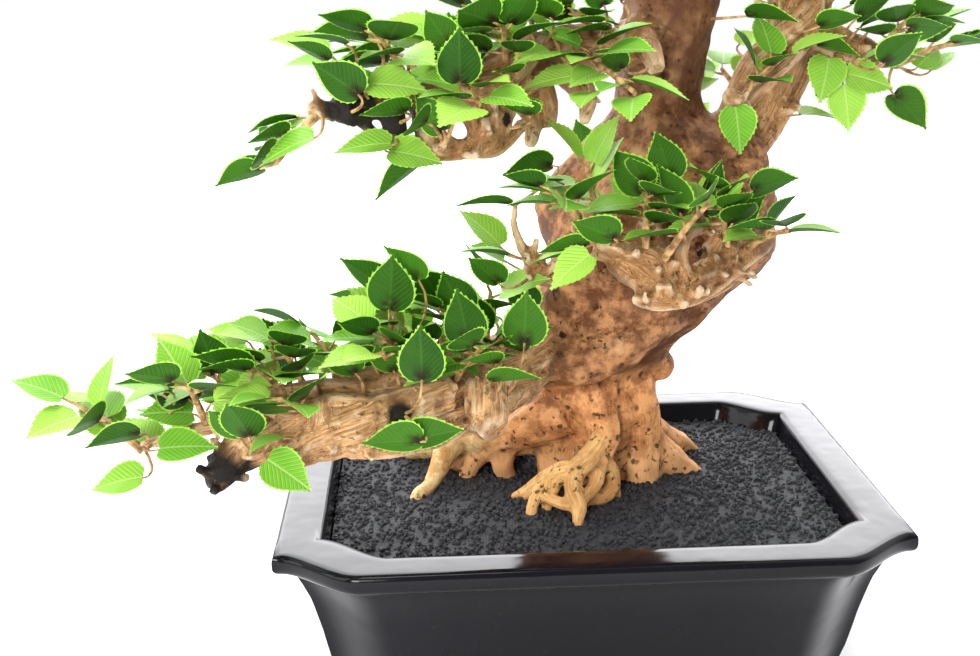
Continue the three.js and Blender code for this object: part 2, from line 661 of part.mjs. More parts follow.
// Leaf number j of a spray: two ranks along the stem, the last one at its end. Later tries turn and tip it.
function leafPlace(rows, outward, j, count, chance, attempt) {
  const last = j === count - 1;
  const { at, along, left, over } = stemFrame(rows, last ? 1 : leafShare(j, count));
  const rank = last ? 0 : j % 2 ? 1 : -1;
  const swing = (attempt % 2 ? 1 : -1) * Math.ceil(attempt / 2);
  const turned = last ? 40 * (chance[0] - 0.5) : rank * (52 + 30 * chance[0]);
  const yaw = (turned + swing * 8) * DEG;
  const pitch = (-8 + 34 * chance[1] + 5 * attempt) * DEG;
  const roll = (64 * (chance[2] - 0.5) + swing * 9) * DEG;
  const ahead = along
    .clone()
    .multiplyScalar(Math.cos(yaw) * Math.cos(pitch))
    .addScaledVector(left, Math.sin(yaw) * Math.cos(pitch))
    .addScaledVector(over, Math.sin(pitch))
    .addScaledVector(outward, SPREADING);
  ahead.z *= LEVELLING;
  ahead.normalize();
  const face = over.clone().multiplyScalar(0.5).add(LIGHT);
  face.addScaledVector(ahead, -face.dot(ahead)).normalize();
  face.applyAxisAngle(ahead, roll);
  const side = last ? along : left.clone().multiplyScalar(rank).addScaledVector(over, 0.6).normalize();
  const length = LEAF_LENGTH * (0.8 + 0.32 * chance[3]);
  return { root: at, ahead, face, length, rank, outward: ahead.dot(side) };
}

// Where along the stem leaf j stands.
const leafShare = (j, count) => 1 - (LEAFY_SHARE * (count - 1 - j)) / (count - 1);

// Everything that is already there, with its box, so that a new leaf is tried against its neighbours only.
const standing = [];
function stand(solid) {
  const { min, max } = solid.boundingBox();
  standing.push({ solid, min, max });
}
function crosses(solid) {
  const { min, max } = solid.boundingBox();
  return standing.some((other) => {
    const apart = [0, 1, 2].some((i) => min[i] > other.max[i] || max[i] < other.min[i]);
    return !apart && !solid.intersect(other.solid).isEmpty();
  });
}

// A three-sided stem from `foot` to its end, with a ring between neighbouring leaves. A leaf's stalk grows out
// of the triangle with a side along the stem's top or, for the last leaf, out of its end, so that a spray is a
// single skin.
function sprayMesh(rows, foot, places, count) {
  const corners = [];
  const triangles = [];
  const step = LEAFY_SHARE / (count - 1);
  const shares = [foot];
  for (let j = 0; j < count - 1; j++) {
    const t = leafShare(j, count) - step / 2;
    if (t > foot + step / 4) shares.push(t);
  }
  shares.push(1);
  for (const t of shares) {
    const { at, left, over } = stemFrame(rows, t);
    const radius = through(rows, t)[3];
    for (const angle of [90, 210, 330]) {
      const [c, s] = [Math.cos(angle * DEG), Math.sin(angle * DEG)];
      corners.push(at.clone().addScaledVector(left, radius * c).addScaledVector(over, radius * s));
    }
  }
  const graft = (host, place) => {
    const first = corners.length;
    corners.push(...setOnStem(bladeCorners(place.length), place));
    const turns = [host, [host[1], host[2], host[0]], [host[2], host[0], host[1]]];
    const wanted = setOnStem(FOOT, place);
    const miss = (turn) => turn.reduce((sum, c, i) => sum + corners[c].distanceTo(wanted[i]), 0);
    const best = turns.reduce((a, b) => (miss(b) < miss(a) ? b : a));
    const blade = first + BLADE_CORNERS;
    const own = (c) => (first + c < blade ? first + c : best[first + c - blade]);
    for (const triangle of LEAF_TRIANGLES) triangles.push(triangle.map(own));
  };
  triangles.push([2, 1, 0]);
  for (let r = 0; r + 1 < shares.length; r++) {
    const place = places.find(({ rank, share }) => rank !== 0 && share > shares[r] && share < shares[r + 1]);
    for (let i = 0; i < 3; i++) {
      const [a, b] = [3 * r + i, 3 * r + ((i + 1) % 3)];
      const onLeft = place && place.rank > 0 && i === 2;
      const onRight = place && place.rank < 0 && i === 0;
      if (onLeft) graft([a, b, b + 3], place);
      else triangles.push([a, b, b + 3]);
      if (onRight) graft([a, b + 3, a + 3], place);
      else triangles.push([a, b + 3, a + 3]);
    }
  }
  const end = 3 * (shares.length - 1);
  const endLeaf = places.find(({ rank }) => rank === 0);
  if (endLeaf) graft([end, end + 1, end + 2], endLeaf);
  else triangles.push([end, end + 1, end + 2]);
  return solidOf(corners, triangles);
}

// Whether two triangles of a solid that have no corner in common pass through each other.
function crossesItself(solid) {
  const { vertProperties, triVerts, numProp } = solid.getMesh();
  const cornerAt = (i) => point(vertProperties.subarray(numProp * i, numProp * i + 3));
  const faces = [];
  for (let t = 0; t < triVerts.length; t += 3) {
    const own = [triVerts[t], triVerts[t + 1], triVerts[t + 2]];
    const corners = own.map(cornerAt);
    faces.push({ own, corners, box: new THREE.Box3().setFromPoints(corners) });
  }
  const ray = new THREE.Ray();
  const hit = new THREE.Vector3();
  const pierces = (one, other) =>
    one.corners.some((from, i) => {
      const to = one.corners[(i + 1) % 3];
      ray.origin.copy(from);
      ray.direction.subVectors(to, from).normalize();
      const met = ray.intersectTriangle(...other.corners, false, hit);
      return met && hit.distanceTo(from) < to.distanceTo(from);
    });
  return faces.some((one) =>
    faces.some((other) => {
      const apart = !one.box.intersectsBox(other.box) || one.own.some((c) => other.own.includes(c));
      return !apart && pierces(one, other);
    }),
  );
}

const STEM_TRIES = 9;
const LEAF_TRIES = 24;
const FOOT_STEP = 0.015; // share of the stem by which its foot moves out until it is clear of the limb
const FOOT_LAST = 0.6;

// The line of a stem, where its foot stands just clear of the wood, and the bare stem.
function clearStem(plan) {
  for (let attempt = 0; attempt < STEM_TRIES; attempt++) {
    const rows = stemRows(plan, attempt);
    for (let foot = 0; foot < FOOT_LAST; foot += FOOT_STEP) {
      if (!crosses(sprayMesh(rows, foot, [], plan.leaves))) {
        const shifted = foot + FIT_GAP / plan.tip.distanceTo(plan.host);
        const stem = sprayMesh(rows, shifted, [], plan.leaves);
        if (!crossesItself(stem)) return { rows, foot: shifted, stem };
      }
    }
  }
  throw new Error(`${plan.name} finds no clear way for its stem`);
}

function makeSpray(plan) {
  const draw = draws(plan.seed);
  const { rows, foot, stem } = clearStem(plan);
  let places = [];
  const trials = [];
  for (let j = plan.leaves - 1; j >= 0; j--) {
    const chance = [draw(), draw(), draw(), draw()];
    if (leafShare(j, plan.leaves) < foot + 0.05) continue;
    for (let attempt = 0; attempt < LEAF_TRIES; attempt++) {
      const place = leafPlace(rows, plan.outward, j, plan.leaves, chance, attempt);
      const tried = trialLeaf(place);
      const blade = tried.subtract(nearRoot(place));
      const next = [...places, { ...place, share: leafShare(j, plan.leaves) }];
      const clear =
        place.outward > LEAST_OUTWARD &&
        !crosses(tried) &&
        blade.intersect(stem).isEmpty() &&
        trials.every((leaf) => leaf.intersect(tried).isEmpty()) &&
        !crossesItself(sprayMesh(rows, foot, next, plan.leaves));
      if (clear) {
        trials.push(tried);
        places = next;
        break;
      }
    }
  }
  const spray = sprayMesh(rows, foot, places, plan.leaves);
  stand(spray);
  return spray;
}

// The room round a leaf's foot in which it may touch its own stem.
const ROOT_ROOM = 2.6;
function nearRoot({ root }) {
  const geometry = new THREE.IcosahedronGeometry(ROOT_ROOM, 0);
  return solidOfGeometry(geometry.translate(root.x, root.y, root.z));
}

// Assembly

const bonsai = new THREE.Group();
const plans = PADS.flatMap(planSprays);
const wood = largest(makeWood());
stand(wood);
const pot = makePot();
stand(pot);
bonsai.add(meshOf("pot", pot, glaze));
bonsai.add(meshOf("drain_screen_left", makeScreen(-DRAIN_OFFSET), plasticMesh));
bonsai.add(meshOf("drain_screen_right", makeScreen(DRAIN_OFFSET), plasticMesh));
bonsai.add(meshOf("soil", largest(makeSoil().subtract(makePlanting())), grit));
bonsai.add(meshOf("tree_wood", wood, bark));
for (const plan of plans) {
  bonsai.add(meshOf(plan.name, makeSpray(plan), leafGreen));
}

export default bonsai;
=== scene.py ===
import math

import bmesh
import bpy
import numpy as np
from mathutils import Matrix, Vector, noise
from mathutils.bvhtree import BVHTree
from mathutils.kdtree import KDTree


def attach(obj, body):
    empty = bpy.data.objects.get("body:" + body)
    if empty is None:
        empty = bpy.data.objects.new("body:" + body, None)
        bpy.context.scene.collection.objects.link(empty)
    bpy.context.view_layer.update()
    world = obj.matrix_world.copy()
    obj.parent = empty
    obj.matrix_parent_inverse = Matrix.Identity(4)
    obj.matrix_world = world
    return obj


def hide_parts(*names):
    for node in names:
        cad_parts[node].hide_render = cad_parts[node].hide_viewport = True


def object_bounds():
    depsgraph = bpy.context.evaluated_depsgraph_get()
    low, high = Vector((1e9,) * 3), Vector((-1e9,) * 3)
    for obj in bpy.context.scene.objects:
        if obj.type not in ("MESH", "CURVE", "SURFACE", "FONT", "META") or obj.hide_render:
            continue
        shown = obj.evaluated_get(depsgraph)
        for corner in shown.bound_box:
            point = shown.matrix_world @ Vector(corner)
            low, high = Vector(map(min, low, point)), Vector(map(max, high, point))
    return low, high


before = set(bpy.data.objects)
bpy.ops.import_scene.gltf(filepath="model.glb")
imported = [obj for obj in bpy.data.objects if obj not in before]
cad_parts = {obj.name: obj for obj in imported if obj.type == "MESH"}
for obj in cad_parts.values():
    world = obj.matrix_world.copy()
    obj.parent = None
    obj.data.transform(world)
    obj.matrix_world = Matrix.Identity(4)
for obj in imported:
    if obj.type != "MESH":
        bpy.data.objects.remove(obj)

cad_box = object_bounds()


# Camera: before the tree, a little left of its middle and at three quarters of its height, looking down.
# Its upper edge cuts off the crown and its lower edge the foot of the pot.
camera_tilt, camera_turn, camera_roll = (math.radians(a) for a in (15.72, 2.71, -0.9))
forward = Vector((
    math.sin(camera_turn) * math.cos(camera_tilt),
    math.cos(camera_turn) * math.cos(camera_tilt),
    -math.sin(camera_tilt),
))
level = Vector((math.cos(camera_turn), -math.sin(camera_turn), 0))
rising = level.cross(forward)
across = math.cos(camera_roll) * level + math.sin(camera_roll) * rising
upward = -math.sin(camera_roll) * level + math.cos(camera_roll) * rising
camera_data = bpy.data.cameras.new("camera")
camera_data.lens = 50
camera_data.sensor_width = 36
camera_data.clip_start = 0.01
camera = bpy.data.objects.new("camera", camera_data)
camera.matrix_world = Matrix((across, upward, -forward)).transposed().to_4x4()
camera.location = (-0.0665, -0.5881, 0.3246)
bpy.context.scene.collection.objects.link(camera)
bpy.context.scene.camera = camera


# Studio: a white room, brightest behind the tree, with a large panel at the back that the glaze mirrors,
# one low in front and one on the left that light the wood under the leaves, and a small one above.
bpy.context.scene.view_settings.view_transform = "Standard"
world = bpy.data.worlds.new("white_room")
world.use_nodes = True
room = world.node_tree.nodes["Background"]
room.inputs["Color"].default_value = (1, 1, 1, 1)
facing = world.node_tree.nodes.new("ShaderNodeTexCoord")
compass = world.node_tree.nodes.new("ShaderNodeSeparateXYZ")
walls = world.node_tree.nodes.new("ShaderNodeMapRange")
walls.interpolation_type = "SMOOTHSTEP"
walls.inputs["From Min"].default_value, walls.inputs["From Max"].default_value = -0.5, 0.35
walls.inputs["To Min"].default_value, walls.inputs["To Max"].default_value = 0.29, 1.6
world.node_tree.links.new(facing.outputs["Generated"], compass.inputs[0])
world.node_tree.links.new(compass.outputs["Y"], walls.inputs["Value"])
world.node_tree.links.new(walls.outputs[0], room.inputs["Strength"])
bpy.context.scene.world = world


def soft_panel(name, place, aim, width, height, watts, tint=(1, 1, 1)):
    data = bpy.data.lights.new(name, "AREA")
    data.shape = "RECTANGLE"
    data.size, data.size_y, data.energy, data.color = width, height, watts, tint
    panel = bpy.data.objects.new(name, data)
    panel.location = place
    panel.rotation_euler = (Vector(aim) - Vector(place)).to_track_quat("-Z", "Y").to_euler()
    panel.visible_camera = False
    bpy.context.scene.collection.objects.link(panel)


soft_panel("back_panel", (-0.1, 1.5, 1.1), (0, 0, 0.25), 3.0, 1.3, 66, (0.965, 0.965, 1))
soft_panel("front_panel", (-0.55, -1.35, 0.6), (0, 0, 0.17), 0.5, 0.5, 17)
soft_panel("left_panel", (-1.1, -0.5, 0.75), (0, 0, 0.15), 0.7, 1.1, 7)
soft_panel("top_panel", (-0.25, -0.35, 1.3), (0, 0, 0.2), 0.5, 0.5, 6)

bpy.ops.object.select_all(action="DESELECT")
bpy.ops.mesh.primitive_plane_add(size=60)
floor = bpy.context.object
floor.name = "floor"
floor_paint = bpy.data.materials.new("pale_floor")
floor_paint.use_nodes = True
floor_inputs = floor_paint.node_tree.nodes["Principled BSDF"].inputs
floor_inputs["Base Color"].default_value = (0.97, 0.97, 0.975, 1)
floor_inputs["Roughness"].default_value = 0.9
floor.data.materials.append(floor_paint)


# Pot: stoneware in a glossy black glaze, pressed in a mould. Its corners are drawn in by an S curve,
# its wide flat rim stands out over a lip, and it flares from four feet at the corners.
mm = 0.001
pot_half_width, pot_half_depth, foot_height = 132, 106, 9
corner_cut_x, corner_cut_y = 36, 22
pot_corner_steps, pot_side_steps = 14, 10


def pot_corner(inset, steps):
    """The drawn-in corner of the pot's outline, from the side wall to the front or back wall."""
    half_x, half_y = pot_half_width - inset, pot_half_depth - inset
    cut_x, cut_y = corner_cut_x - inset / 3, corner_cut_y - inset / 12
    shares = [i / steps for i in range(steps + 1)]
    return [(half_x - cut_x * u, half_y - cut_y * (1 - u * u * (3 - 2 * u))) for u in shares]


def pot_outline(inset, z):
    corner = pot_corner(inset, pot_corner_steps)
    turns = []
    for sx, sy, backwards in ((1, 1, False), (-1, 1, True), (-1, -1, False), (1, -1, True)):
        run = [(sx * x, sy * y) for x, y in corner]
        turns.append(run[::-1] if backwards else run)
    outline = []
    for i, run in enumerate(turns):
        outline += run
        (x0, y0), (x1, y1) = run[-1], turns[(i + 1) % 4][0]
        for k in range(1, pot_side_steps):
            u = k / pot_side_steps
            outline.append((x0 + (x1 - x0) * u, y0 + (y1 - y0) * u))
    return [(x * mm, y * mm, z * mm) for x, y in outline]


# Height and inset: up the flared outside, round the lip, over the rim and down the inside wall.
pot_profile = [
    (9, 28), (9.2, 27.3), (10, 26.8), (20, 24), (30, 21.3), (40, 19.3), (48, 17.8), (54, 16.4), (60, 15),
    (65, 13.7), (69, 12.2), (72.5, 10.9), (75, 9.8), (77, 9.1), (78.5, 8.7), (79.3, 7.9), (79.8, 6.4),
    (80.3, 4.6), (81, 2.6), (82, 1.1), (83.4, 0.2), (85, 0), (87.2, 0), (88.5, 0.25), (89.4, 0.9),
    (89.9, 2), (90, 3.6), (90, 8), (90, 13), (90, 15.8), (89.8, 17.2), (89.2, 18.4), (88, 19.3),
    (84, 20.3), (76, 22.4), (60, 27), (42, 32), (24, 37), (18.5, 38.6), (17, 41.5),
]


def mesh_piece(name, points, faces):
    data = bpy.data.meshes.new(name)
    data.from_pydata(points, [], faces)
    data.validate()
    piece = bpy.data.objects.new(name, data)
    bpy.context.scene.collection.objects.link(piece)
    return piece


def only(piece):
    bpy.ops.object.select_all(action="DESELECT")
    piece.select_set(True)
    bpy.context.view_layer.objects.active = piece


def reshape(piece, modifier, **settings):
    """Applies one modifier with these settings."""
    only(piece)
    change = piece.modifiers.new("change", modifier)
    for name, value in settings.items():
        setattr(change, name, value)
    bpy.ops.object.modifier_apply(modifier="change")


def coat(piece, *finishes):
    piece.data.materials.clear()
    for finish in finishes:
        piece.data.materials.append(finish)


def tube_faces(first, count, sides):
    """The faces of a closed tube through `count` rings of points, which are numbered on from `first`."""
    faces = []
    last = first + (count - 1) * sides
    for ring in range(first, last, sides):
        for i in range(sides):
            a, b = ring + i, ring + (i + 1) % sides
            faces.append((a, b, b + sides, a + sides))
    return faces + [tuple(range(first, first + sides))[::-1], tuple(range(last, last + sides))]


rings = [pot_outline(inset, z) for z, inset in pot_profile]
pot_points = [p for ring in rings for p in ring]
pot = mesh_piece("glazed_pot", pot_points, tube_faces(0, len(rings), len(rings[0])))

drain_radius, drain_offset = 6.5 * mm, 46 * mm
for x in (-drain_offset, drain_offset):
    bpy.ops.object.select_all(action="DESELECT")
    bpy.ops.mesh.primitive_cylinder_add(vertices=32, radius=drain_radius, depth=0.04, location=(x, 0, 0.013))
    drain = bpy.context.object
    reshape(pot, "BOOLEAN", operation="DIFFERENCE", object=drain, solver="EXACT")
    bpy.data.objects.remove(drain)

# Each foot is a part of a ring under the body, between an outer and an inner wall.
foot_gap_x, foot_gap_y = 66, 48
foot_insets, foot_steps, foot_sunk = (28.5, 43), 24, 0.6
foot_walls = []
for inset in foot_insets:
    corner = pot_corner(inset, foot_steps)
    (side_x, side_y), (front_x, front_y) = corner[0], corner[-1]
    wall = [(side_x, foot_gap_y)] if side_y > foot_gap_y else []
    wall += [(x, y) for x, y in corner if x > foot_gap_x and y > foot_gap_y]
    if front_x > foot_gap_x:
        wall.append((foot_gap_x, front_y))
    foot_walls.append(wall)
outline = foot_walls[0] + foot_walls[1][::-1]
foot_levels = (0, foot_height + foot_sunk)
foot_faces = tube_faces(0, 2, len(outline))
feet = []
for sx in (-1, 1):
    for sy in (-1, 1):
        points = [(sx * x * mm, sy * y * mm, z * mm) for z in foot_levels for x, y in outline]
        faces = foot_faces if sx * sy > 0 else [face[::-1] for face in foot_faces]
        foot = mesh_piece("foot", points, faces)
        reshape(foot, "BEVEL", width=1.1 * mm, segments=3, angle_limit=math.radians(50))
        feet.append(foot)
only(pot)
for foot in feet:
    foot.select_set(True)
bpy.ops.object.join()
bpy.ops.object.shade_smooth_by_angle(angle=math.radians(32))


class Wire:
    """An output of a material's node, with arithmetic that adds Math nodes."""

    def __init__(self, tree, socket):
        self.tree, self.socket = tree, socket

    def math(self, operation, *others):
        return node(self.tree, "ShaderNodeMath", {"operation": operation}, dict(enumerate((self, *others))))

    def __add__(self, other):
        return self.math("ADD", other)

    def __sub__(self, other):
        return self.math("SUBTRACT", other)

    def __rsub__(self, other):
        return self.math("MULTIPLY", -1) + other

    def __mul__(self, other):
        return self.math("MULTIPLY", other)

    __radd__, __rmul__ = __add__, __mul__

    def ramp(self, low, high):
        """0 below `low`, 1 above `high`, smooth between; the other way round if low > high."""
        return node(self.tree, "ShaderNodeMapRange", {"interpolation_type": "SMOOTHSTEP"},
                    {"Value": self, "From Min": low, "From Max": high})


def node(tree, kind, settings=None, inputs=None, output=0):
    """Adds a node to a material's tree: its settings first, then the values or links of its sockets."""
    made = tree.nodes.new(kind)
    for name, value in (settings or {}).items():
        setattr(made, name, value)
    for name, value in (inputs or {}).items():
        if isinstance(value, Wire):
            tree.links.new(value.socket, made.inputs[name])
        else:
            made.inputs[name].default_value = value
    return Wire(tree, made.outputs[output])


def mix(share, one, other, blend="MIX"):
    """A colour between two colours, by a share that changes over the surface."""
    one, other = (c if isinstance(c, Wire) else (*c, 1) for c in (one, other))
    return node(share.tree, "ShaderNodeMix", {"data_type": "RGBA", "blend_type": blend},
                {0: share, 6: one, 7: other}, output=2)


def new_finish(name):
    """An empty material with its Principled shader, and where on the object it is."""
    finish = bpy.data.materials.new(name)
    finish.use_nodes = True
    tree = finish.node_tree
    place = node(tree, "ShaderNodeTexCoord", output=3)
    return finish, tree, tree.nodes["Principled BSDF"], place


def cloud(tree, place, size_mm, detail=3, roughness=0.5):
    """Soft noise from 0 to 1 with lumps of about that size."""
    return node(tree, "ShaderNodeTexNoise", None,
                {"Vector": place, "Scale": 1000 / size_mm, "Detail": detail, "Roughness": roughness})


def bump(tree, height, depth_mm):
    return node(tree, "ShaderNodeBump", None, {"Height": height, "Distance": depth_mm * mm})


def read(tree, name, output=2):
    """A value that a mesh carries at each of its points, or with output 1 a place."""
    return node(tree, "ShaderNodeAttribute", {"attribute_name": name}, output=output)


def feed(shader, **links):
    """Sets or links a shader's sockets, named with _ for a space."""
    for name, value in links.items():
        name = name.replace("_", " ")
        if isinstance(value, Wire):
            value.tree.links.new(value.socket, shader.inputs[name])
        else:
            shader.inputs[name].default_value = value


glaze, tree, shader, place = new_finish("black_glaze")
pooling = cloud(tree, place, 60, 4)
dust = cloud(tree, place, 3, 6, 0.7).ramp(0.62, 0.8)
clean_glaze = mix(pooling, (0.0025, 0.0025, 0.004), (0.006, 0.006, 0.009))
feed(
    shader,
    Base_Color=mix(dust * 0.12, clean_glaze, (0.16, 0.16, 0.17)),
    Roughness=0.09 + pooling * 0.06 + dust * 0.2,
    IOR=1.3,
    Normal=bump(tree, cloud(tree, place, 26, 2), 0.5),
)
coat(pot, glaze)
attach(pot, "root")
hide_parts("pot")


# Drain screens: squares cut from a sheet of dark green plastic net, laid over the drain holes.
net, tree, shader, place = new_finish("plastic_net")
scuff = cloud(tree, place, 1.5, 4)
feed(
    shader,
    Base_Color=mix(scuff, (0.012, 0.026, 0.017), (0.030, 0.052, 0.036)),
    Roughness=0.45 + scuff * 0.2,
    Normal=bump(tree, scuff, 0.1),
)
for name in ("drain_screen_left", "drain_screen_right"):
    coat(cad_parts[name], net)


# Soil: coarse dark planting grit, filled up to below the rim. The bed is the body that was modelled,
# and its surface is covered with loose grains.
grit, tree, shader, place = new_finish("dark_grit")
lumps = cloud(tree, place, 2.2, 5, 0.65)
patches = cloud(tree, place, 24, 3)
dark_side = mix(patches, (0.009, 0.0095, 0.012), (0.018, 0.0185, 0.022))
feed(
    shader,
    Base_Color=mix(lumps, dark_side, (0.050, 0.053, 0.062)),
    Roughness=0.6 + lumps * 0.35,
    Normal=bump(tree, lumps, 1.2),
)
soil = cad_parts["soil"]
coat(soil, grit)

grain_count = 6500
chance = np.random.default_rng(31)
bpy.ops.object.select_all(action="DESELECT")
bpy.ops.mesh.primitive_ico_sphere_add(subdivisions=1, radius=1)
pebble = bpy.context.object
pebble_points = np.array([v.co for v in pebble.data.vertices])
pebble_faces = np.array([f.vertices for f in pebble.data.polygons])
bpy.data.objects.remove(pebble)

# The grains lie on top of the bed and not in its hole for the trunk.
bed_half_width, bed_half_depth, above_bed, below_bed = 0.111, 0.085, 0.1, 0.07
bed_corner = np.array((bed_half_width, bed_half_depth))
depsgraph = bpy.context.evaluated_depsgraph_get()
grain_points, grain_faces = [], []
for x, y in chance.uniform(-bed_corner, bed_corner, (grain_count * 2, 2)):
    hit, bed, _, _ = soil.ray_cast(Vector((x, y, above_bed)), Vector((0, 0, -1)), depsgraph=depsgraph)
    if not hit or bed.z <= below_bed or len(grain_points) >= grain_count:
        continue
    size = mm * (0.75 + 0.85 * chance.random() ** 2)
    turn = Matrix.Rotation(chance.uniform(0, 6.28), 3, Vector(chance.normal(size=3)).normalized())
    dents = chance.uniform(0.72, 1.22, (len(pebble_points), 1))
    shape = pebble_points * size * dents * chance.uniform(0.75, 1.2, (1, 3))
    grain_faces.append(pebble_faces + len(pebble_points) * len(grain_points))
    grain_points.append(shape @ np.array(turn) + (x, y, bed.z + chance.uniform(-0.3, 0.9) * mm))
grain_points, grain_faces = np.concatenate(grain_points), np.concatenate(grain_faces)
grains = mesh_piece("soil_grains", grain_points.tolist(), grain_faces.tolist())
coat(grains, grit)
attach(grains, "root")


# Wood: the old trunk with its burl, the surface roots and the limbs, grown as one piece and long since
# smoothed like driftwood. The burl is red-brown, the foot of the trunk orange, the knot of roots in front
# of it golden, and the bare limbs are pale.
trunk_stations = [  # height, middle x and y, half width, half depth
    (64, 8, 13, 20, 17), (88, 8, 13, 24, 18), (104, 7.5, 12.5, 27, 20), (122, 7, 11, 29, 22),
    (136, 6, 10, 31, 24), (147, 7, 8, 35, 29), (159, 11, 5, 40, 33), (175, 24, 3, 44.5, 37),
    (192, 37.5, 2, 50, 40), (212, 36.5, 2, 50.5, 40), (229, 42, 4, 46, 37), (243, 45, 5, 37, 31),
    (253, 37, 4, 20.5, 22), (270, 36.5, 3, 18, 18.5), (300, 40.5, 2, 19.5, 17.5), (322, 39, 1, 16.5, 15),
    (346, 31, -2, 13.5, 12.5), (368, 21, -6, 10, 9.5), (388, 15, -9, 6.5, 6.5), (402, 13, -11, 3, 3),
]
# The burl hangs over the lower trunk in a thick hem that climbs to the right. Its rows, and those of the
# roots and limbs, are x, y, z and radius.
burl_hem = [
    (-37, -12, 153, 8), (-25, -21, 148, 10), (-7, -24, 149.5, 11), (10, -24, 154, 11.5),
    (24, -20, 161, 12), (37, -13, 169, 12), (49, -4, 180, 11),
]
burl_knob = [(32, 4, 144, 9), (39, 4, 138, 6.5), (42.5, 5, 134, 4)]
main_roots = [
    [(-4, 0, 120, 13), (-18, 4, 112, 10.5), (-32, 10, 102, 8), (-45, 17, 94, 6.2), (-55, 23, 86, 5),
     (-61, 27, 76, 3.5)],
    [(-32, 9, 99, 6.5), (-33, 9, 90, 5), (-31, 13, 83, 4.2), (-29, 16, 76, 3.4)],
    [(-44, 15, 94, 5.5), (-49, 13, 86, 4.2), (-52, 15, 76, 3)],
    [(4, -6, 130, 12), (9, -14, 120, 8.5), (11, -18, 112, 7.2), (7, -22, 104, 6.4), (3, -22, 94, 6)],
    [(24, 6, 130, 14), (29, 4, 114, 11.5), (31, 5, 98, 10.5), (32, 4, 86, 9.5), (33, 4, 74, 8)],
    [(30, 8, 104, 10), (39, 9, 94, 8.5), (48, 11, 87, 7), (57, 12.5, 81, 5), (64, 13, 75, 3)],
    [(30, 16, 104, 12), (44, 26, 94, 8), (56, 36, 87, 5.5), (66, 46, 77, 3.5)],
    [(12, 30, 104, 12), (16, 46, 94, 8.5), (20, 60, 87, 6), (24, 74, 77, 3.5)],
    [(-10, 24, 104, 12), (-26, 38, 95, 9), (-42, 50, 88, 6.5), (-58, 60, 84, 4.5), (-72, 66, 76, 3)],
    [(-14, 14, 103, 10), (-34, 24, 94, 7), (-48, 34, 88, 5.5), (-60, 42, 77, 3.6)],
]
pale_roots = [
    [(-34, 10, 102, 6), (-46, 14, 101, 5.5), (-55, 18, 97, 5.4), (-65, 28, 92, 5), (-76, 40, 86, 4.2),
     (-85, 53, 76, 2.6)],
    [(-55, 14, 101, 6), (-61, 10, 95, 5.6), (-64, 4, 90, 4.6), (-68, -3, 85, 3.2), (-73, -9, 83, 3.4),
     (-76, -15, 76, 2.6)],
]
golden_roots = [
    [(11, -17, 116, 6.5), (8, -22, 110, 6.5), (3, -26, 105, 6.5), (-3, -31, 101, 5.6), (-5, -36, 94, 4.8),
     (-3, -41, 89, 4.6), (-4, -45, 84, 3.6), (-5, -48, 76, 2.6)],
    [(5, -24, 107, 5.5), (10, -22, 101, 5.2), (14, -20, 95, 5), (14, -21, 88, 4.6), (9, -26, 86, 4.2),
     (2, -31, 87, 3.8), (-3, -37, 87, 3.6)],
    [(14, -20, 93, 4.2), (16, -18, 84, 3.8), (15, -17, 76, 2.8)],
    [(-2, -30, 102, 5.2), (-10, -28, 100, 5), (-16, -24, 95, 4.8), (-22, -19, 88, 4.6),
     (-30, -13, 81, 3.4)],
    [(-14, -26, 97, 4.4), (-20, -30, 91, 3.8), (-23, -33, 84, 3.4), (-24, -35, 76, 2.6)],
    [(-10, -29, 99, 4.4), (-14, -30, 91, 3.8), (-16, -29, 84, 3.2), (-16, -28, 76, 2.5)],
    [(-2, -41, 89, 3.8), (-8, -38, 88, 3.8), (-14, -34, 89, 3.4), (-18, -30, 91, 3)],
    [(8, -24, 100, 4), (6, -30, 96, 4.4), (3, -33, 92, 4), (-2, -39, 90, 3.4)],
]
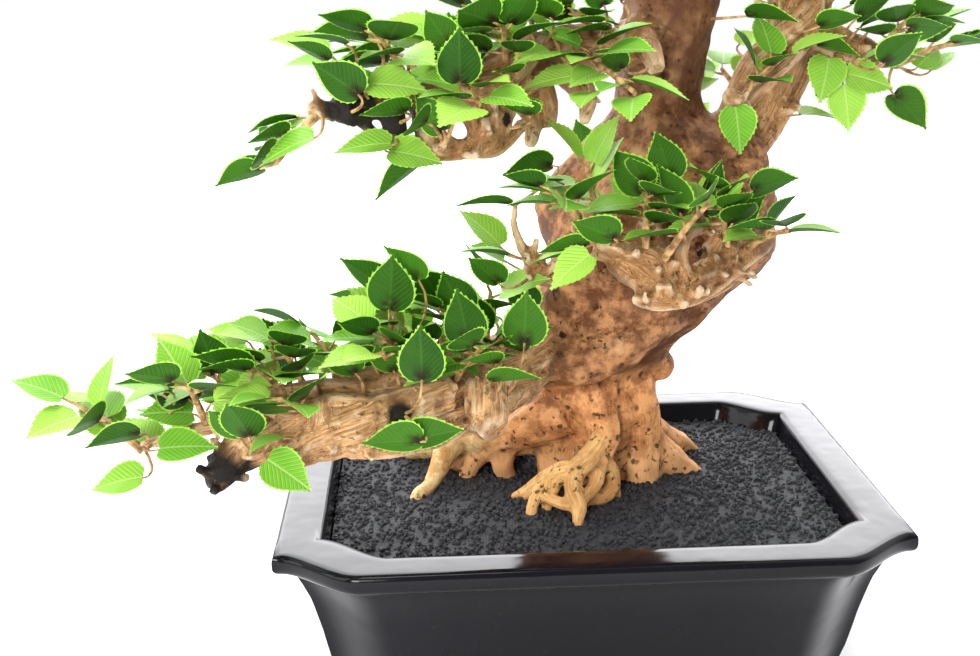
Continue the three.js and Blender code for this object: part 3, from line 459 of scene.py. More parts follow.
bare_limbs = [
    [(60, 8, 222, 22), (73, 9, 240, 16.5), (83, 11, 257, 14), (91, 13, 274, 14), (97, 15, 292, 14.5),
     (103, 17, 309, 11.5), (113, 19, 323, 8.5), (132, 20, 332, 6), (156, 20, 336, 3.6)],
    [(94, 12, 285, 9), (112, 10, 281, 7.5), (130, 12, 276, 5.5), (148, 20, 271, 3.6)],
    [(70, 4, 248, 8), (66, -12, 257, 5.5), (61, -24, 263, 4)],
    [(-6, -4, 155, 17), (-30, -35, 150, 14.5), (-56, -66, 152, 12.5), (-88, -82, 147, 11.5),
     (-112, -96, 149, 9), (-134, -100, 140, 7), (-150, -108, 134, 4.6)],
    [(-30, -32, 160, 9), (-52, -54, 162, 7.5), (-78, -72, 160, 6.5), (-104, -84, 157, 5.5),
     (-130, -92, 154, 4.2), (-156, -98, 150, 3), (-176, -104, 146, 2.2)],
    [(-22, -38, 144, 7), (-44, -64, 141, 5.5), (-70, -86, 140, 5.5), (-98, -100, 140, 4.6)],
    [(76, -6, 216, 15), (73, -28, 207, 10.5), (62, -48, 200, 7.4), (47, -63, 194, 6.4),
     (33, -72, 190, 5.2), (21, -76, 189, 3.8), (13, -78, 191, 2)],
    [(70, -26, 213, 6), (60, -42, 211, 4.2), (50, -55, 207, 3.6), (41, -66, 198, 3.8)],
    [(57, -42, 210, 3.8), (48, -52, 214, 3.2), (38, -61, 212, 2.8), (34, -68, 204, 2.8),
     (37, -70, 196, 3.2)],
    [(7, -60, 202, 3.4), (13, -68, 197, 3.4), (22, -72, 195, 3.4), (30, -72, 194, 4.4)],
    [(2, -58, 206, 4), (9, -64, 206, 3.6), (18, -68, 207, 3.6), (26, -70, 203, 3.2), (29, -71, 196, 3.6)],
    [(12, -66, 203, 2.4), (18, -70, 200, 2.2), (22, -73, 197, 2.6)],
    [(30, -28, 206, 12), (22, -54, 206, 7.5), (8, -68, 211, 5), (-4, -74, 217, 3.4)],
    [(-4, -28, 194, 6.8), (-18, -44, 193, 4.8), (-21, -49, 199, 3.4), (-27, -52, 206, 2.4),
     (-30, -53, 213, 1.9), (-31, -53, 218, 1.7), (-30, -53, 225, 1.4)],
    [(34, 0, 289, 13), (12, -28, 283, 10.5), (-16, -50, 284, 10), (-42, -70, 274, 9),
     (-66, -80, 276, 6.5), (-88, -92, 268, 5), (-108, -93, 269, 3)],
    [(-10, -48, 277, 6), (-3, -62, 269, 4), (-5, -72, 259, 2.2)],
    [(-34, -66, 274, 7), (-36, -76, 262, 4.8), (-46, -83, 254, 3.8), (-60, -86, 251, 2.8),
     (-78, -89, 255, 2.2), (-92, -91, 266, 2.4)],
    [(-62, -80, 271, 6), (-66, -88, 261, 4.2), (-60, -88, 253, 2.8)],
    [(44, 20, 217, 15), (49, 46, 213, 11), (56, 74, 210, 8), (62, 96, 208, 5), (66, 114, 207, 3)],
    [(51, 54, 212, 6.5), (34, 76, 211, 4.6), (20, 90, 210, 3)],
    [(40, 0, 316, 11), (16, -14, 325, 8.5), (-12, -26, 331, 6.5), (-38, -34, 333, 4.6),
     (-56, -38, 332, 3)],
    [(38, 2, 328, 9.5), (48, 26, 337, 7), (54, 46, 342, 5), (56, 62, 343, 3.2)],
    [(22, -4, 364, 7), (42, -8, 375, 5), (58, -10, 380, 3.2)],
    [(17, -8, 378, 6), (-4, -16, 387, 4.2), (-20, -20, 390, 3)],
]
# The low branch ends in a broad pale tongue, a lump with two holes and a crumbled black end. From the
# branch above it hang knobs and thin limbs that have grown into a net.
driftwood = [
    [(-60, -78, 156, 8), (-81, -91, 153, 9.5), (-94, -94, 149, 11), (-107, -98, 146, 10.5),
     (-118, -101, 142, 8), (-127, -104, 138, 4)],
    [(-44, -74, 156, 8), (-44, -82, 151, 8.5), (-45, -86, 145, 8.5), (-49, -89, 141, 4.5)],
    [(-76, -92, 157, 4), (-78, -98, 154, 3.8), (-78, -99, 152, 3)],
    [(-134, -98, 146, 8.4), (-143, -104, 139, 7), (-146, -108, 135, 5.5), (-148, -110, 130, 3)],
    [(-136, -92, 166, 2.6), (-122, -92, 162, 3.4), (-105, -88, 162, 3.6), (-88, -84, 158, 4.2),
     (-68, -76, 156, 5)],
    [(-134, -98, 160, 2.4), (-119, -100, 156, 3.2), (-104, -98, 159, 3.4), (-89, -94, 157, 3.6),
     (-74, -88, 156, 4)],
    [(-109, -99, 161, 3), (-109, -103, 156, 3.4), (-111, -103, 148, 3)],
    [(-14, -50, 279, 5), (-7, -53, 272, 4.4), (-4, -55, 267, 3.6), (-2, -56, 263, 3)],
    [(-21, -57, 272, 5.5), (-18, -60, 264, 4.8), (-17, -62, 256, 2.4)],
    [(-29, -62, 269, 5.5), (-24, -62, 260, 3.8), (-25, -64, 249, 2.6)],
    [(-63, -84, 267, 3.4), (-60, -86, 258, 2.5), (-49, -84, 251, 2.3), (-38, -78, 250, 2.3),
     (-28, -68, 259, 3)],
    [(-41, -72, 271, 6.5), (-37, -76, 261, 4.6), (-36, -78, 256, 2.6)],
    [(-48, -78, 269, 5.5), (-46, -82, 258, 4), (-49, -84, 251, 2.2)],
    [(-92, -90, 281, 5), (-91, -93, 272, 5.8), (-94, -95, 263, 3.6)],
    [(-79, -90, 275, 5), (-77, -92, 266, 4.8), (-75, -91, 257, 3.6), (-70, -88, 254, 2)],
    [(-71, -84, 274, 7), (-60, -80, 270, 8.5), (-44, -74, 272, 8.5), (-29, -64, 275, 8)],
    [(26, -14, 287, 6), (26, -32, 284, 5), (26, -41, 280, 4), (27, -45, 276, 3.8)],
    [(-61, -84, 273, 2.6), (-61, -88, 266, 2), (-64, -88, 256, 1.7)],
]
TRUNK, ROOT, GOLDEN, PALE, LIMB = range(5)


def through(rows, t):
    """A smooth run through rows of numbers, at t from 0 to 1."""
    last = len(rows) - 1
    s = min(int(t * last), last - 1)
    u = t * last - s
    ends = [[2 * p - q for p, q in zip(end, next_to_it)]
            for end, next_to_it in ((rows[0], rows[1]), (rows[-1], rows[-2]))]
    picked = [ends[0] if i < 0 else ends[1] if i > last else rows[i] for i in (s - 1, s, s + 1, s + 2)]
    return [
        0.5 * (2 * b + (c - a) * u + (2 * a - 5 * b + 4 * c - d) * u * u + (3 * b - a - 3 * c + d) * u ** 3)
        for a, b, c, d in zip(*picked)
    ]


grown_points, grown_faces = [], []
grown_rings = []  # middle, way along, sideways, upwards, run, radius and kind of each ring
ring_of_point = []


def skin(rings_of_points, sides):
    """Joins rings of points with a skin and closes both ends."""
    grown_faces.extend(tube_faces(len(grown_points), len(rings_of_points), sides))
    for ring in rings_of_points:
        grown_points.extend(ring)


def ring_around(middle, radius, along, before, sides):
    """A ring of points square to the way along, turned no more than needed from the ring before."""
    sideways = along.orthogonal() if before is None else before - along * before.dot(along)
    sideways.normalize()
    up = along.cross(sideways)
    turns = [2 * math.pi * k / sides for k in range(sides)]
    return sideways, up, [middle + radius * (math.cos(w) * sideways + math.sin(w) * up) for w in turns]


def length_of(rows):
    return sum(math.dist(a[:3], b[:3]) for a, b in zip(rows, rows[1:]))


def grow(rows, kind, sides=18, spacing=2.0):
    """A limb or root: a round tube that tapers through rows of x, y, z and radius."""
    length = length_of(rows)
    steps = max(6, round(length / spacing))
    run, sideways, made = 0.0, None, []
    for i in range(steps + 1):
        t = i / steps
        row = through(rows, t)
        middle = Vector(row[:3])
        along = Vector(through(rows, min(t + 0.01, 1))[:3]) - Vector(through(rows, max(t - 0.01, 0))[:3])
        along.normalize()
        sideways, up, ring = ring_around(middle, row[3], along, sideways, sides)
        made.append(ring)
        run += 0 if i == 0 else length / steps
        grown_rings.append((*middle, *along, *sideways, *up, run, row[3], kind))
        ring_of_point.extend([len(grown_rings) - 1] * sides)
    skin(made, sides)


def burl(angle, z):
    return (0.05 * math.sin(3 * angle + 0.045 * z + 0.8) + 0.04 * math.sin(5 * angle - 0.07 * z + 2.1)
            + 0.03 * math.sin(2 * angle + 0.11 * z + 4))


trunk_rings, trunk_sides = 130, 64
made = []
for i in range(trunk_rings + 1):
    z, x, y, rx, ry = through(trunk_stations, i / trunk_rings)
    grown_rings.append((x, y, z, 0, 0, 1, 1, 0, 0, 0, 1, 0, z, (rx + ry) / 2, TRUNK))
    ring_of_point.extend([len(grown_rings) - 1] * trunk_sides)
    ring = []
    for k in range(trunk_sides):
        angle = 2 * math.pi * k / trunk_sides
        m = 1 + burl(angle, z)
        ring.append(Vector((x + rx * m * math.cos(angle), y + ry * m * math.sin(angle), z)))
    made.append(ring)
skin(made, trunk_sides)

stout_radius = 7  # limbs from this radius on are wound with strands, so their core is thinner
core_share = 0.8
thin_sides, thin_spacing = 14, 1.6


def thinned(rows, share):
    return [(*row[:3], row[3] * share) for row in rows]


for rows in (burl_hem, burl_knob):
    grow(rows, TRUNK)
for rows in main_roots:
    grow(rows, ROOT)
for rows in pale_roots:
    grow(rows, PALE)
for rows in golden_roots:
    grow(thinned(rows, core_share), GOLDEN, thin_sides, thin_spacing)
for rows in bare_limbs:
    grow(thinned(rows, core_share if max(row[3] for row in rows) >= stout_radius else 1), LIMB)
for rows in driftwood:
    grow(rows, LIMB, thin_sides, thin_spacing)


def limb_frame(rows, t):
    """A place on a limb's middle line, its radius there, and the ways across it and along it."""
    row = through(rows, t)
    along = Vector(through(rows, min(t + 0.02, 1))[:3]) - Vector(through(rows, max(t - 0.02, 0))[:3])
    along.normalize()
    sky = Vector((0, 1, 0)) if abs(along.z) > 0.75 else Vector((0, 0, 1))
    left = sky.cross(along).normalized()
    return Vector(row[:3]), row[3], left, along.cross(left), along


# Ropey strands wind along the stouter limbs, some sunk into them and some free, and leave grooves between.
strand_steps, thinnest_strand = 14, 1.1
chance = np.random.default_rng(12)
for rows in bare_limbs:
    stout = max(row[3] for row in rows)
    if stout < stout_radius:
        continue
    strands = 7 if stout > 11 else 5
    for k in range(strands):
        start, end = chance.uniform(0.02, 0.3), chance.uniform(0.75, 1)
        phase, turns = 2 * math.pi * (k + chance.random()) / strands, chance.uniform(-2.4, 2.4)
        thick, loose = chance.uniform(0.17, 0.33), chance.uniform(0.02, 0.14)
        line = []
        for i in range(strand_steps + 1):
            u = i / strand_steps
            middle, r, left, over, _ = limb_frame(rows, start + (end - start) * u)
            w = phase + turns * u + 0.6 * math.sin(6 * u + phase)
            reach = r * (0.93 + loose * math.sin(11 * u + 3 * phase) - 0.3 * abs(2 * u - 1) ** 3)
            at = middle + reach * (math.cos(w) * left + math.sin(w) * over)
            line.append((*at, max(thinnest_strand, thick * r)))
        grow(line, LIMB, sides=8, spacing=1.6)

# Knuckles: the stubs of twigs that were cut back year after year, all over the limbs that carry leaves.
knuckle_spacing, thinnest_knuckled = 6, 2.4
for rows in bare_limbs:
    for _ in range(int(length_of(rows) / knuckle_spacing)):
        t = chance.uniform(0.2, 0.98)
        middle, r, left, over, along = limb_frame(rows, t)
        if r < thinnest_knuckled:
            continue
        w = chance.uniform(-0.9, math.pi + 0.9)
        out = (math.cos(w) * left + math.sin(w) * over + chance.uniform(-0.2, 0.9) * along).normalized()
        rise = (out + Vector((0, 0, chance.uniform(0.1, 1.1)))).normalized()
        thick = chance.uniform(1.1, 2.1)
        reach = chance.uniform(3, 9)
        first = middle + out * max(r - 2.5, 0)
        bend = middle + out * (r + 0.4 * reach)
        last = bend + rise * 0.6 * reach
        knob = thick * chance.uniform(0.8, 1.35)
        grow([(*first, thick * 1.5), (*bend, thick), (*last, knob)], LIMB, sides=8, spacing=1.2)

# Ribs that run on up the trunk from the roots.
for rows in main_roots[3:9]:
    x, y = rows[2][:2]
    angle = math.atan2(y - 10, x - 6)
    line = []
    for i, (z, cx, cy, rx, ry) in enumerate(trunk_stations[2:7]):
        w = angle + 0.06 * i
        line.append((cx + 0.86 * rx * math.cos(w), cy + 0.86 * ry * math.sin(w), z, 7.5 - i))
    grow(line, TRUNK, sides=10, spacing=2.5)

wood = mesh_piece("elm_wood", [tuple(p * mm) for p in grown_points], grown_faces)
only(wood)
bpy.ops.object.mode_set(mode="EDIT")
bpy.ops.mesh.select_all(action="SELECT")
bpy.ops.mesh.normals_make_consistent(inside=False)
bpy.ops.object.mode_set(mode="OBJECT")
reshape(wood, "REMESH", mode="VOXEL", voxel_size=1.05 * mm)


def values_of(items, name, width, kind=float):
    """A row of numbers for each point, edge or corner of a mesh."""
    flat = np.empty(width * len(items), dtype=kind)
    items.foreach_get(name, flat)
    return flat.reshape(-1, width)


def paint(piece, name, values, kind="FLOAT", field="value"):
    """Gives each point of a piece a value that its finish can read."""
    piece.data.attributes.new(name, kind, "POINT").data.foreach_set(field, values)


def spread(values, edges, times, pull=0.6):
    """Evens out a value or a place over a mesh by the mean of its neighbours."""
    count = np.bincount(edges.ravel(), minlength=len(values))
    columns = values.reshape(len(values), -1)
    for _ in range(times):
        mean = np.empty_like(columns)
        for c in range(columns.shape[1]):
            mean[:, c] = (
                np.bincount(edges[:, 0], columns[edges[:, 1], c], len(values))
                + np.bincount(edges[:, 1], columns[edges[:, 0], c], len(values))
            ) / count
        columns = columns + pull * (mean - columns)
    return columns.reshape(values.shape)


# Rot and old fire have left the broken ends and a few knots nearly black; the knot holes are painted nearly
# black as the shade inside them.
burnt_spots = [
    (-149, -108, 131, 15), (-140, -102, 138, 8), (-77, -92, 262, 10), (-92, -94, 270, 10),
    (-20, -56, 262, 6), (-78, -99, 153, 5),
]
knot_holes = [
    (-50, -94, 150, 1.7), (-45, -94, 151.5, 1.7), (40, -60, 205, 4), (-36, -79, 262, 2), (-89, -98, 270, 2.4),
]

# Each point of the wood belongs to the limb that it came from, which gives the way of its grain.
finder = KDTree(len(grown_points))
for i, p in enumerate(grown_points):
    finder.insert(p * mm, i)
finder.balance()
wood_points = values_of(wood.data.vertices, "co", 3)
wood_edges = values_of(wood.data.edges, "vertices", 2, np.int32)
nearest = [finder.find(p)[1] for p in wood_points]
ring_table = np.array(grown_rings)
rows = ring_table[np.array(ring_of_point)[nearest]]
offset = wood_points / mm - rows[:, 0:3]
grain = np.stack([
    (offset * rows[:, 6:9]).sum(1),
    (offset * rows[:, 9:12]).sum(1),
    (offset * rows[:, 3:6]).sum(1) + rows[:, 12],
], 1)
kind = rows[:, 14]
radius = rows[:, 13]
is_limb = spread((kind == LIMB).astype(float), wood_edges, 8)
is_golden = spread((kind == GOLDEN).astype(float), wood_edges, 6)
is_pale = spread((kind == PALE).astype(float), wood_edges, 6)
is_trunk = spread((kind == TRUNK).astype(float), wood_edges, 12)


def noise_at(places, seed):
    return np.array([noise.noise(Vector(p) + Vector((seed, 0, 0))) for p in places])


def away_from(spot, places):
    return np.linalg.norm(places / mm - spot, axis=1)


# Lumps on the trunk, ridges along the grain of the limbs, pits and holes are carved into the wood.
# How hollow each point then lies is kept for the colour: painted shade in the hollows, a painted highlight
# and wear on the ridges.
big_lumps = noise_at(wood_points / (17 * mm), 5)
small_lumps = noise_at(wood_points / (6.5 * mm), 9)
wide_ridges = noise_at(grain / (7, 7, 34), 3)
fine_ridges = noise_at(grain / (2.6, 2.6, 22), 7)
ridges = 1 - 2 * np.abs(wide_ridges)
slim = np.clip(radius / 7, 0.25, 1)
rise = (
    is_trunk * (2.3 * big_lumps + 1.0 * small_lumps + 0.3 * ridges)
    + (1 - is_trunk) * slim * (0.9 * big_lumps + 0.5 * small_lumps + 1.1 * ridges + 0.7 * fine_ridges - 0.6)
)
pit_lumps = noise_at(wood_points / (4.2 * mm), 21)
rise -= 1.5 * np.clip((pit_lumps - 0.42) / 0.2, 0, 1) * np.clip(radius / 12, 0.2, 1)
for *spot, reach in knot_holes:
    rise -= 1.3 * reach * np.clip(1.5 - away_from(spot, wood_points) / reach, 0, 1)
rise = spread(rise, wood_edges, 2)
smoothed = spread(wood_points, wood_edges, 4)
wood.data.vertices.foreach_set("co", smoothed.ravel())
wood.data.update()
normals = values_of(wood.data.vertices, "normal", 3)
carved = smoothed + normals * rise[:, None] * mm
wood.data.vertices.foreach_set("co", carved.ravel())
wood.data.update()
hollow = ((spread(carved, wood_edges, 6) - carved) * normals).sum(1) / mm
wide_hollow = ((spread(carved, wood_edges, 40) - carved) * normals).sum(1) / mm
char_and_hole_shade = np.zeros(len(carved))
for *spot, reach in burnt_spots:
    char_and_hole_shade = np.maximum(char_and_hole_shade, np.clip(1.4 - away_from(spot, carved) / reach, 0, 1))
# Knot holes: painted nearly black, as the shade inside them.
for *spot, reach in knot_holes:
    char_and_hole_shade = np.maximum(char_and_hole_shade, np.clip(2.6 - 1.6 * away_from(spot, carved) / reach, 0, 1))
painted = {
    "is_limb": is_limb, "is_golden": is_golden, "is_pale": is_pale, "hollow": hollow,
    "wide_hollow": wide_hollow, "char_and_hole_shade": char_and_hole_shade,
}
for name, value in painted.items():
    paint(wood, name, value)
paint(wood, "grain", grain.ravel(), "FLOAT_VECTOR", "vector")
most_triangles = 190_000
reshape(wood, "DECIMATE", ratio=min(1, most_triangles / (2 * len(wood.data.polygons))))
bpy.ops.object.shade_smooth()

bark, tree, shader, place = new_finish("driftwood")
limb_share, golden_share, pale_share = (read(tree, name) for name in ("is_limb", "is_golden", "is_pale"))
grain_place, burnt_and_hole_shade = read(tree, "grain", 1), read(tree, "char_and_hole_shade")
dip, wide_dip = read(tree, "hollow"), read(tree, "wide_hollow")
# Hollows and crevices are painted dark brown, as painted shade where light doesn't reach.
hollow_shade = dip.ramp(0.02, 0.55).math("MAXIMUM", wide_dip.ramp(0.5, 3.2) * 0.8)
# Ridges are painted lighter: worn bare, and a painted highlight.
worn_and_highlit = dip.ramp(-0.05, -0.5)
height = node(tree, "ShaderNodeSeparateXYZ", None, {"Vector": place}, output=2)
stretched = node(tree, "ShaderNodeMapping", None, {"Vector": grain_place, "Scale": (1, 1, 0.06)})
fibres = node(tree, "ShaderNodeTexNoise", None,
              {"Vector": stretched, "Scale": 1.3, "Detail": 5, "Roughness": 0.65})
mottle = cloud(tree, place, 9, 7, 0.7)
blotch = cloud(tree, place, 26, 5, 0.62)
worm = cloud(tree, place, 3.4, 4, 0.6)
pits = worm.ramp(0.575, 0.66) * cloud(tree, place, 17, 3).ramp(0.44, 0.56)
orange_wood = mix(mottle.ramp(0.38, 0.62), (0.42, 0.15, 0.045), (0.86, 0.40, 0.15))
orange_wood = mix(fibres.ramp(0.45, 0.8) * 0.5, orange_wood, (0.95, 0.56, 0.27))
# The foot of the trunk and the roots are painted lighter near the soil, as light thrown up from the floor.
orange_wood = mix(height.ramp(0.108, 0.092) * 0.5, orange_wood, (1.0, 0.57, 0.26))
burl_wood = mix(mottle.ramp(0.38, 0.62), (0.15, 0.052, 0.018), (0.56, 0.265, 0.11))
burl_wood = mix(blotch.ramp(0.50, 0.60) * 0.8, burl_wood, (0.10, 0.038, 0.015))
burl_wood = mix(blotch.ramp(0.46, 0.34) * 0.6, burl_wood, (0.78, 0.46, 0.23))
red_wood = mix(height.ramp(0.130, 0.146), orange_wood, burl_wood)
# The trunk above the burl is painted darker, as shade under the crown.
red_wood = mix(height.ramp(0.232, 0.275) * 0.75, red_wood, (0.085, 0.028, 0.011))
golden_wood = mix(fibres.ramp(0.3, 0.7), (0.66, 0.28, 0.065), (1.0, 0.67, 0.28))
golden_wood = mix(blotch.ramp(0.48, 0.58) * 0.5, golden_wood, (0.42, 0.17, 0.045))
pale_wood = mix(fibres.ramp(0.3, 0.66), (0.27, 0.115, 0.036), (0.80, 0.47, 0.215))
pale_wood = mix(mottle.ramp(0.54, 0.68) * 0.85, pale_wood, (0.96, 0.72, 0.44))
pale_wood = mix(blotch.ramp(0.50, 0.62) * 0.75, pale_wood, (0.17, 0.072, 0.025))
# The pale limbs above the low branch are painted darker and greyer, as shade under the leaves.
pale_wood = mix(height.ramp(0.170, 0.195) * 0.9, pale_wood, (0.66, 0.60, 0.54), "MULTIPLY")
colour = mix(golden_share, mix(limb_share, red_wood, pale_wood), golden_wood)
colour = mix(pale_share, colour, mix(mottle.ramp(0.4, 0.6), (0.62, 0.34, 0.11), (0.92, 0.72, 0.36)))
# Painted highlight and wear on the ridges.
colour = mix(worn_and_highlit * 0.5, colour, mix(limb_share, (0.86, 0.50, 0.25), (0.98, 0.82, 0.58)))
# Painted shade in the hollows and crevices.
colour = mix(hollow_shade * 0.9, colour, mix(limb_share, (0.060, 0.020, 0.008), (0.085, 0.038, 0.014)))
colour = mix(pits * (1 - limb_share * 0.5) * 0.85, colour, (0.050, 0.018, 0.008))
# Charred ends, and painted shade in the knot holes.
colour = mix(burnt_and_hole_shade.ramp(0.05, 0.6) * mottle.ramp(0.15, 0.42), colour, (0.014, 0.010, 0.008))
feed(
    shader,
    Base_Color=colour,
    Roughness=0.5 + mottle * 0.25,
    Specular_IOR_Level=0.2,
    Normal=bump(tree, fibres * 0.6 + mottle * 0.5 - pits * 0.8, 0.9),
)
coat(wood, bark)
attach(wood, "root")
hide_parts("tree_wood")


# Leafy sprays: brown twigs that stand out of the limbs, with stiff toothed leaves on thin stalks.
# A leaf is bright on its upper side and dull below, in part as painted light and painted shade, and its cut
# edge is painted yellow-green all round as a highlight.
leaf_length, leaf_width, petiole = 20, 16.6, 6
leaf_cup, leaf_droop = 0.24, 0.16  # the slope of its sides, and how far its tip bends down
tooth_reach, rib_lift, rib_sink = 0.036, 0.011, 0.014  # these and the droop are shares of its length
leaf_margin = [
    (0, 0.07), (-0.035, 0.36), (0.015, 0.64), (0.10, 0.85), (0.20, 0.97), (0.31, 1.0), (0.42, 0.96),
    (0.53, 0.86), (0.64, 0.69), (0.75, 0.47), (0.85, 0.25), (0.93, 0.1), (1.0, 0.0),
]  # share of the length, share of the half width


def leaf_pattern():
    """Points of a leaf of length 1, the faces of its upper and lower side, and which points are its rim."""
    points, faces, rims = [], [], []

    def add(s, y, lift, rim_highlight):
        points.append((s, y, leaf_cup * abs(y) - leaf_droop * s * s + lift))
        rims.append(rim_highlight)
        return len(points) - 1

    half = leaf_width / leaf_length / 2
    count = len(leaf_margin)
    ribs = [max(0, min(1, s - 0.26 * w * (1 - s))) for s, w in leaf_margin]
    upper = [add(s, 0, rib_lift, 0) for s in ribs[:-1]]
    lower = [add(s, 0, -rib_sink, 0) for s in ribs[:-1]]
    tip = add(1, 0, 0, 1)
    for side in (1, -1):
        notch = [add(s, side * w * half, 0, 1) for s, w in leaf_margin[:-1]] + [tip]
        for i in range(count - 1):
            (s0, w0), (s1, w1) = leaf_margin[i], leaf_margin[i + 1]
            edge = [notch[i], notch[i + 1]]
            if i > 0:
                out = Vector((w0 - w1, (s1 - s0) / half)).normalized() * tooth_reach
                tooth_y = (w0 + 0.8 * (w1 - w0)) * half + out.y
                edge.insert(1, add(s0 + 0.86 * (s1 - s0) + out.x, side * tooth_y, 0, 1))
            for ribs_here, over in ((upper, True), (lower, False)):
                ring = [ribs_here[i], *edge]
                if i + 1 < count - 1:
                    ring.append(ribs_here[i + 1])
                faces.append((ring if (side > 0) != over else ring[::-1], over))
        faces.append(([upper[0], notch[0], lower[0]][:: 1 if side > 0 else -1], False))
    return points, faces, rims


pattern_points, pattern_faces, pattern_rims = leaf_pattern()


def read_spray(name):
    """The stem and the leaves of a modelled spray, from its joined-up mesh."""
    shape = bmesh.new()
    shape.from_mesh(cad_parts[name].data)
    bmesh.ops.remove_doubles(shape, verts=shape.verts, dist=1e-6)
    beside = {v: {e.other_vert(v) for e in v.link_edges} for v in shape.verts}
    leaves, taken = [], set()
    # Each leaf has a middle above and one below, which share nine points and have a foot point each.
    for mid in shape.verts:
        if mid in taken or len(beside[mid]) != 10:
            continue
        for other in {w for v in beside[mid] for w in beside[v]} - {mid}:
            shared = beside[mid] & beside[other]
            if len(beside[other]) == 10 and len(shared) == 9 and other not in beside[mid]:
                break
        else:
            continue
        foot_1, foot_2 = (beside[mid] - shared).pop(), (beside[other] - shared).pop()
        foot = (foot_1.co + foot_2.co) / 2
        tip = max(shared, key=lambda v: (v.co - foot).length)
        face = (mid.co - other.co).normalized()
        edge = sum((v.co for v in shared), Vector()) / 9
        if face.dot(edge - (mid.co + other.co) / 2) < 0:
            face.negate()
        length = (tip.co - foot).length / math.hypot(1, leaf_droop)
        ahead = (tip.co - foot + leaf_droop * length * face).normalized()
        leaves.append((foot, ahead, face, length))
        near = set()
        for v in beside[foot_1] & beside[foot_2]:
            step = (v.co - foot) / length
            above = step.dot(face) - leaf_cup * abs(step.dot(face.cross(ahead)))
            if abs(above) < 0.02 and step.dot(ahead) > -0.02:
                near.add(v)
        taken |= {mid, other, foot_1, foot_2} | shared | near
    left = [v.co.copy() for v in shape.verts if v not in taken]
    shape.free()
    rings = []
    while left:
        first = left.pop(0)
        pair = sorted(left, key=lambda p: (p - first).length)[:2]
        left = [p for p in left if p not in pair]
        middle = sum(pair, first) / 3
        rings.append((middle, (first - middle).length))
    rings.sort(key=lambda ring: -ring[1])
    return rings, leaves


def leaf_finish(name, dull, bright, vein, veined, rim_highlight, gloss, foot):
    """One side of the leaves: its range of greens, its veins, its rim painted bright as a highlight, and the
    brown stain at its foot.
    """
    finish, tree, shader, place = new_finish(name)
    blade = node(tree, "ShaderNodeUVMap", {"uv_map": "blade"})
    along, beside = (node(tree, "ShaderNodeSeparateXYZ", None, {"Vector": blade}, output=i) for i in range(2))
    off_rib = (beside - 0.5).math("ABSOLUTE")
    draw, edge = read(tree, "draw"), read(tree, "rim_highlight")
    veins = ((along - off_rib * 0.95) * 10 + 0.5).math("FRACT")
    side_veins = (1 - (veins - 0.5).math("ABSOLUTE").ramp(0.04, 0.22)) * off_rib.ramp(0.42, 0.3)
    rib = 1 - off_rib.ramp(0.01, 0.035)
    lines = rib.math("MAXIMUM", side_veins * 0.6)
    patches = cloud(tree, place, 6, 3)
    colour = mix(draw * 0.8 + patches * 0.3 - 0.05, dull, bright)
    colour = mix(lines * veined, colour, vein)
    stain = along.ramp(0.36, 0.05) * off_rib.ramp(0.22, 0.06) * cloud(tree, place, 2.5, 3).ramp(0.3, 0.5)
    colour = mix(stain * foot, colour, (0.022, 0.010, 0.005))
    # The rim is painted yellow-green on both sides, a painted highlight of the light behind the leaves.
    colour = mix(edge.ramp(0.94, 0.98), colour, rim_highlight)
    feed(
        shader,
        Base_Color=colour,
        Roughness=gloss + patches * 0.12,
        Specular_IOR_Level=0.18,
        Normal=bump(tree, lines * -0.7 + patches * 0.3, 0.35),
    )
    glow = node(tree, "ShaderNodeBsdfTranslucent", None, {"Color": colour})
    both = node(tree, "ShaderNodeMixShader", None, {0: 0.22, 1: Wire(tree, shader.outputs[0]), 2: glow})
    tree.links.new(both.socket, tree.nodes["Material Output"].inputs["Surface"])
    return finish


# The bright upper side and the dark underside are partly the leaf's own greens and partly painted light and
# painted shade.
leaf_upper = leaf_finish(
    "leaf_upper_side", dull=(0.13, 0.46, 0.012), bright=(0.56, 0.94, 0.12), vein=(0.80, 0.96, 0.42),
    veined=0.34, rim_highlight=(0.55, 0.86, 0.15), gloss=0.42, foot=0.0,
)
leaf_lower = leaf_finish(
    "leaf_underside", dull=(0.016, 0.078, 0.004), bright=(0.062, 0.20, 0.012), vein=(0.13, 0.32, 0.05),
    veined=0.16, rim_highlight=(0.50, 0.80, 0.13), gloss=0.5, foot=0.95,
)

twig_bark, tree, shader, place = new_finish("twig_bark")
tone = cloud(tree, place, 3, 4)
feed(
    shader,
    Base_Color=mix(tone.ramp(0.3, 0.7), (0.16, 0.075, 0.022), (0.62, 0.38, 0.15)),
    Roughness=0.6,
    Normal=bump(tree, tone, 0.5),
)


UPPER_SIDE, UNDERSIDE, TWIG = range(3)  # the finishes of a spray's faces


def tube(points, faces, looks, rings, sides):
    """Adds a twig: a closed round tube through rings of (middle, radius)."""
    new_faces = tube_faces(len(points), len(rings), sides)
    faces += new_faces
    looks += [TWIG] * len(new_faces)
    sideways = None
    for i, (middle, radius) in enumerate(rings):
        along = (rings[min(i + 1, len(rings) - 1)][0] - rings[max(i - 1, 0)][0]).normalized()
        sideways, _, ring = ring_around(middle, radius, along, sideways, sides)
        points += ring


# The pad of leaves on each limb: its middle, heading and half width, how many more leaves stand between
# the modelled ones, and which share of those stands upright. They grow on thin stalks out of the limb.
pads = {
    "low_left": ((-106, -86, 165), (-0.955, -0.296), 42, 56, 0.4),
    "middle": ((26, -70, 224), (-0.97, -0.1), 32, 3, 0.4),
    "up_left": ((-46, -76, 278), (-0.97, -0.24), 44, 46, 0.12),
    "right": ((118, 8, 268), (0.99, 0.12), 34, 20, 0.4),
    "right_high": ((161, 20, 340), (0.99, 0.1), 34, 24, 0.4),
    "back": ((54, 97, 216), (0.35, 0.94), 38, 24, 0.4),
    "crown_left": ((-28, -32, 343), (-0.95, -0.3), 32, 24, 0.4),
    "crown_back": ((54, 50, 353), (0.3, 0.95), 32, 20, 0.4),
    "apex": ((18, -11, 398), (1, 0.05), 42, 34, 0.4),
}
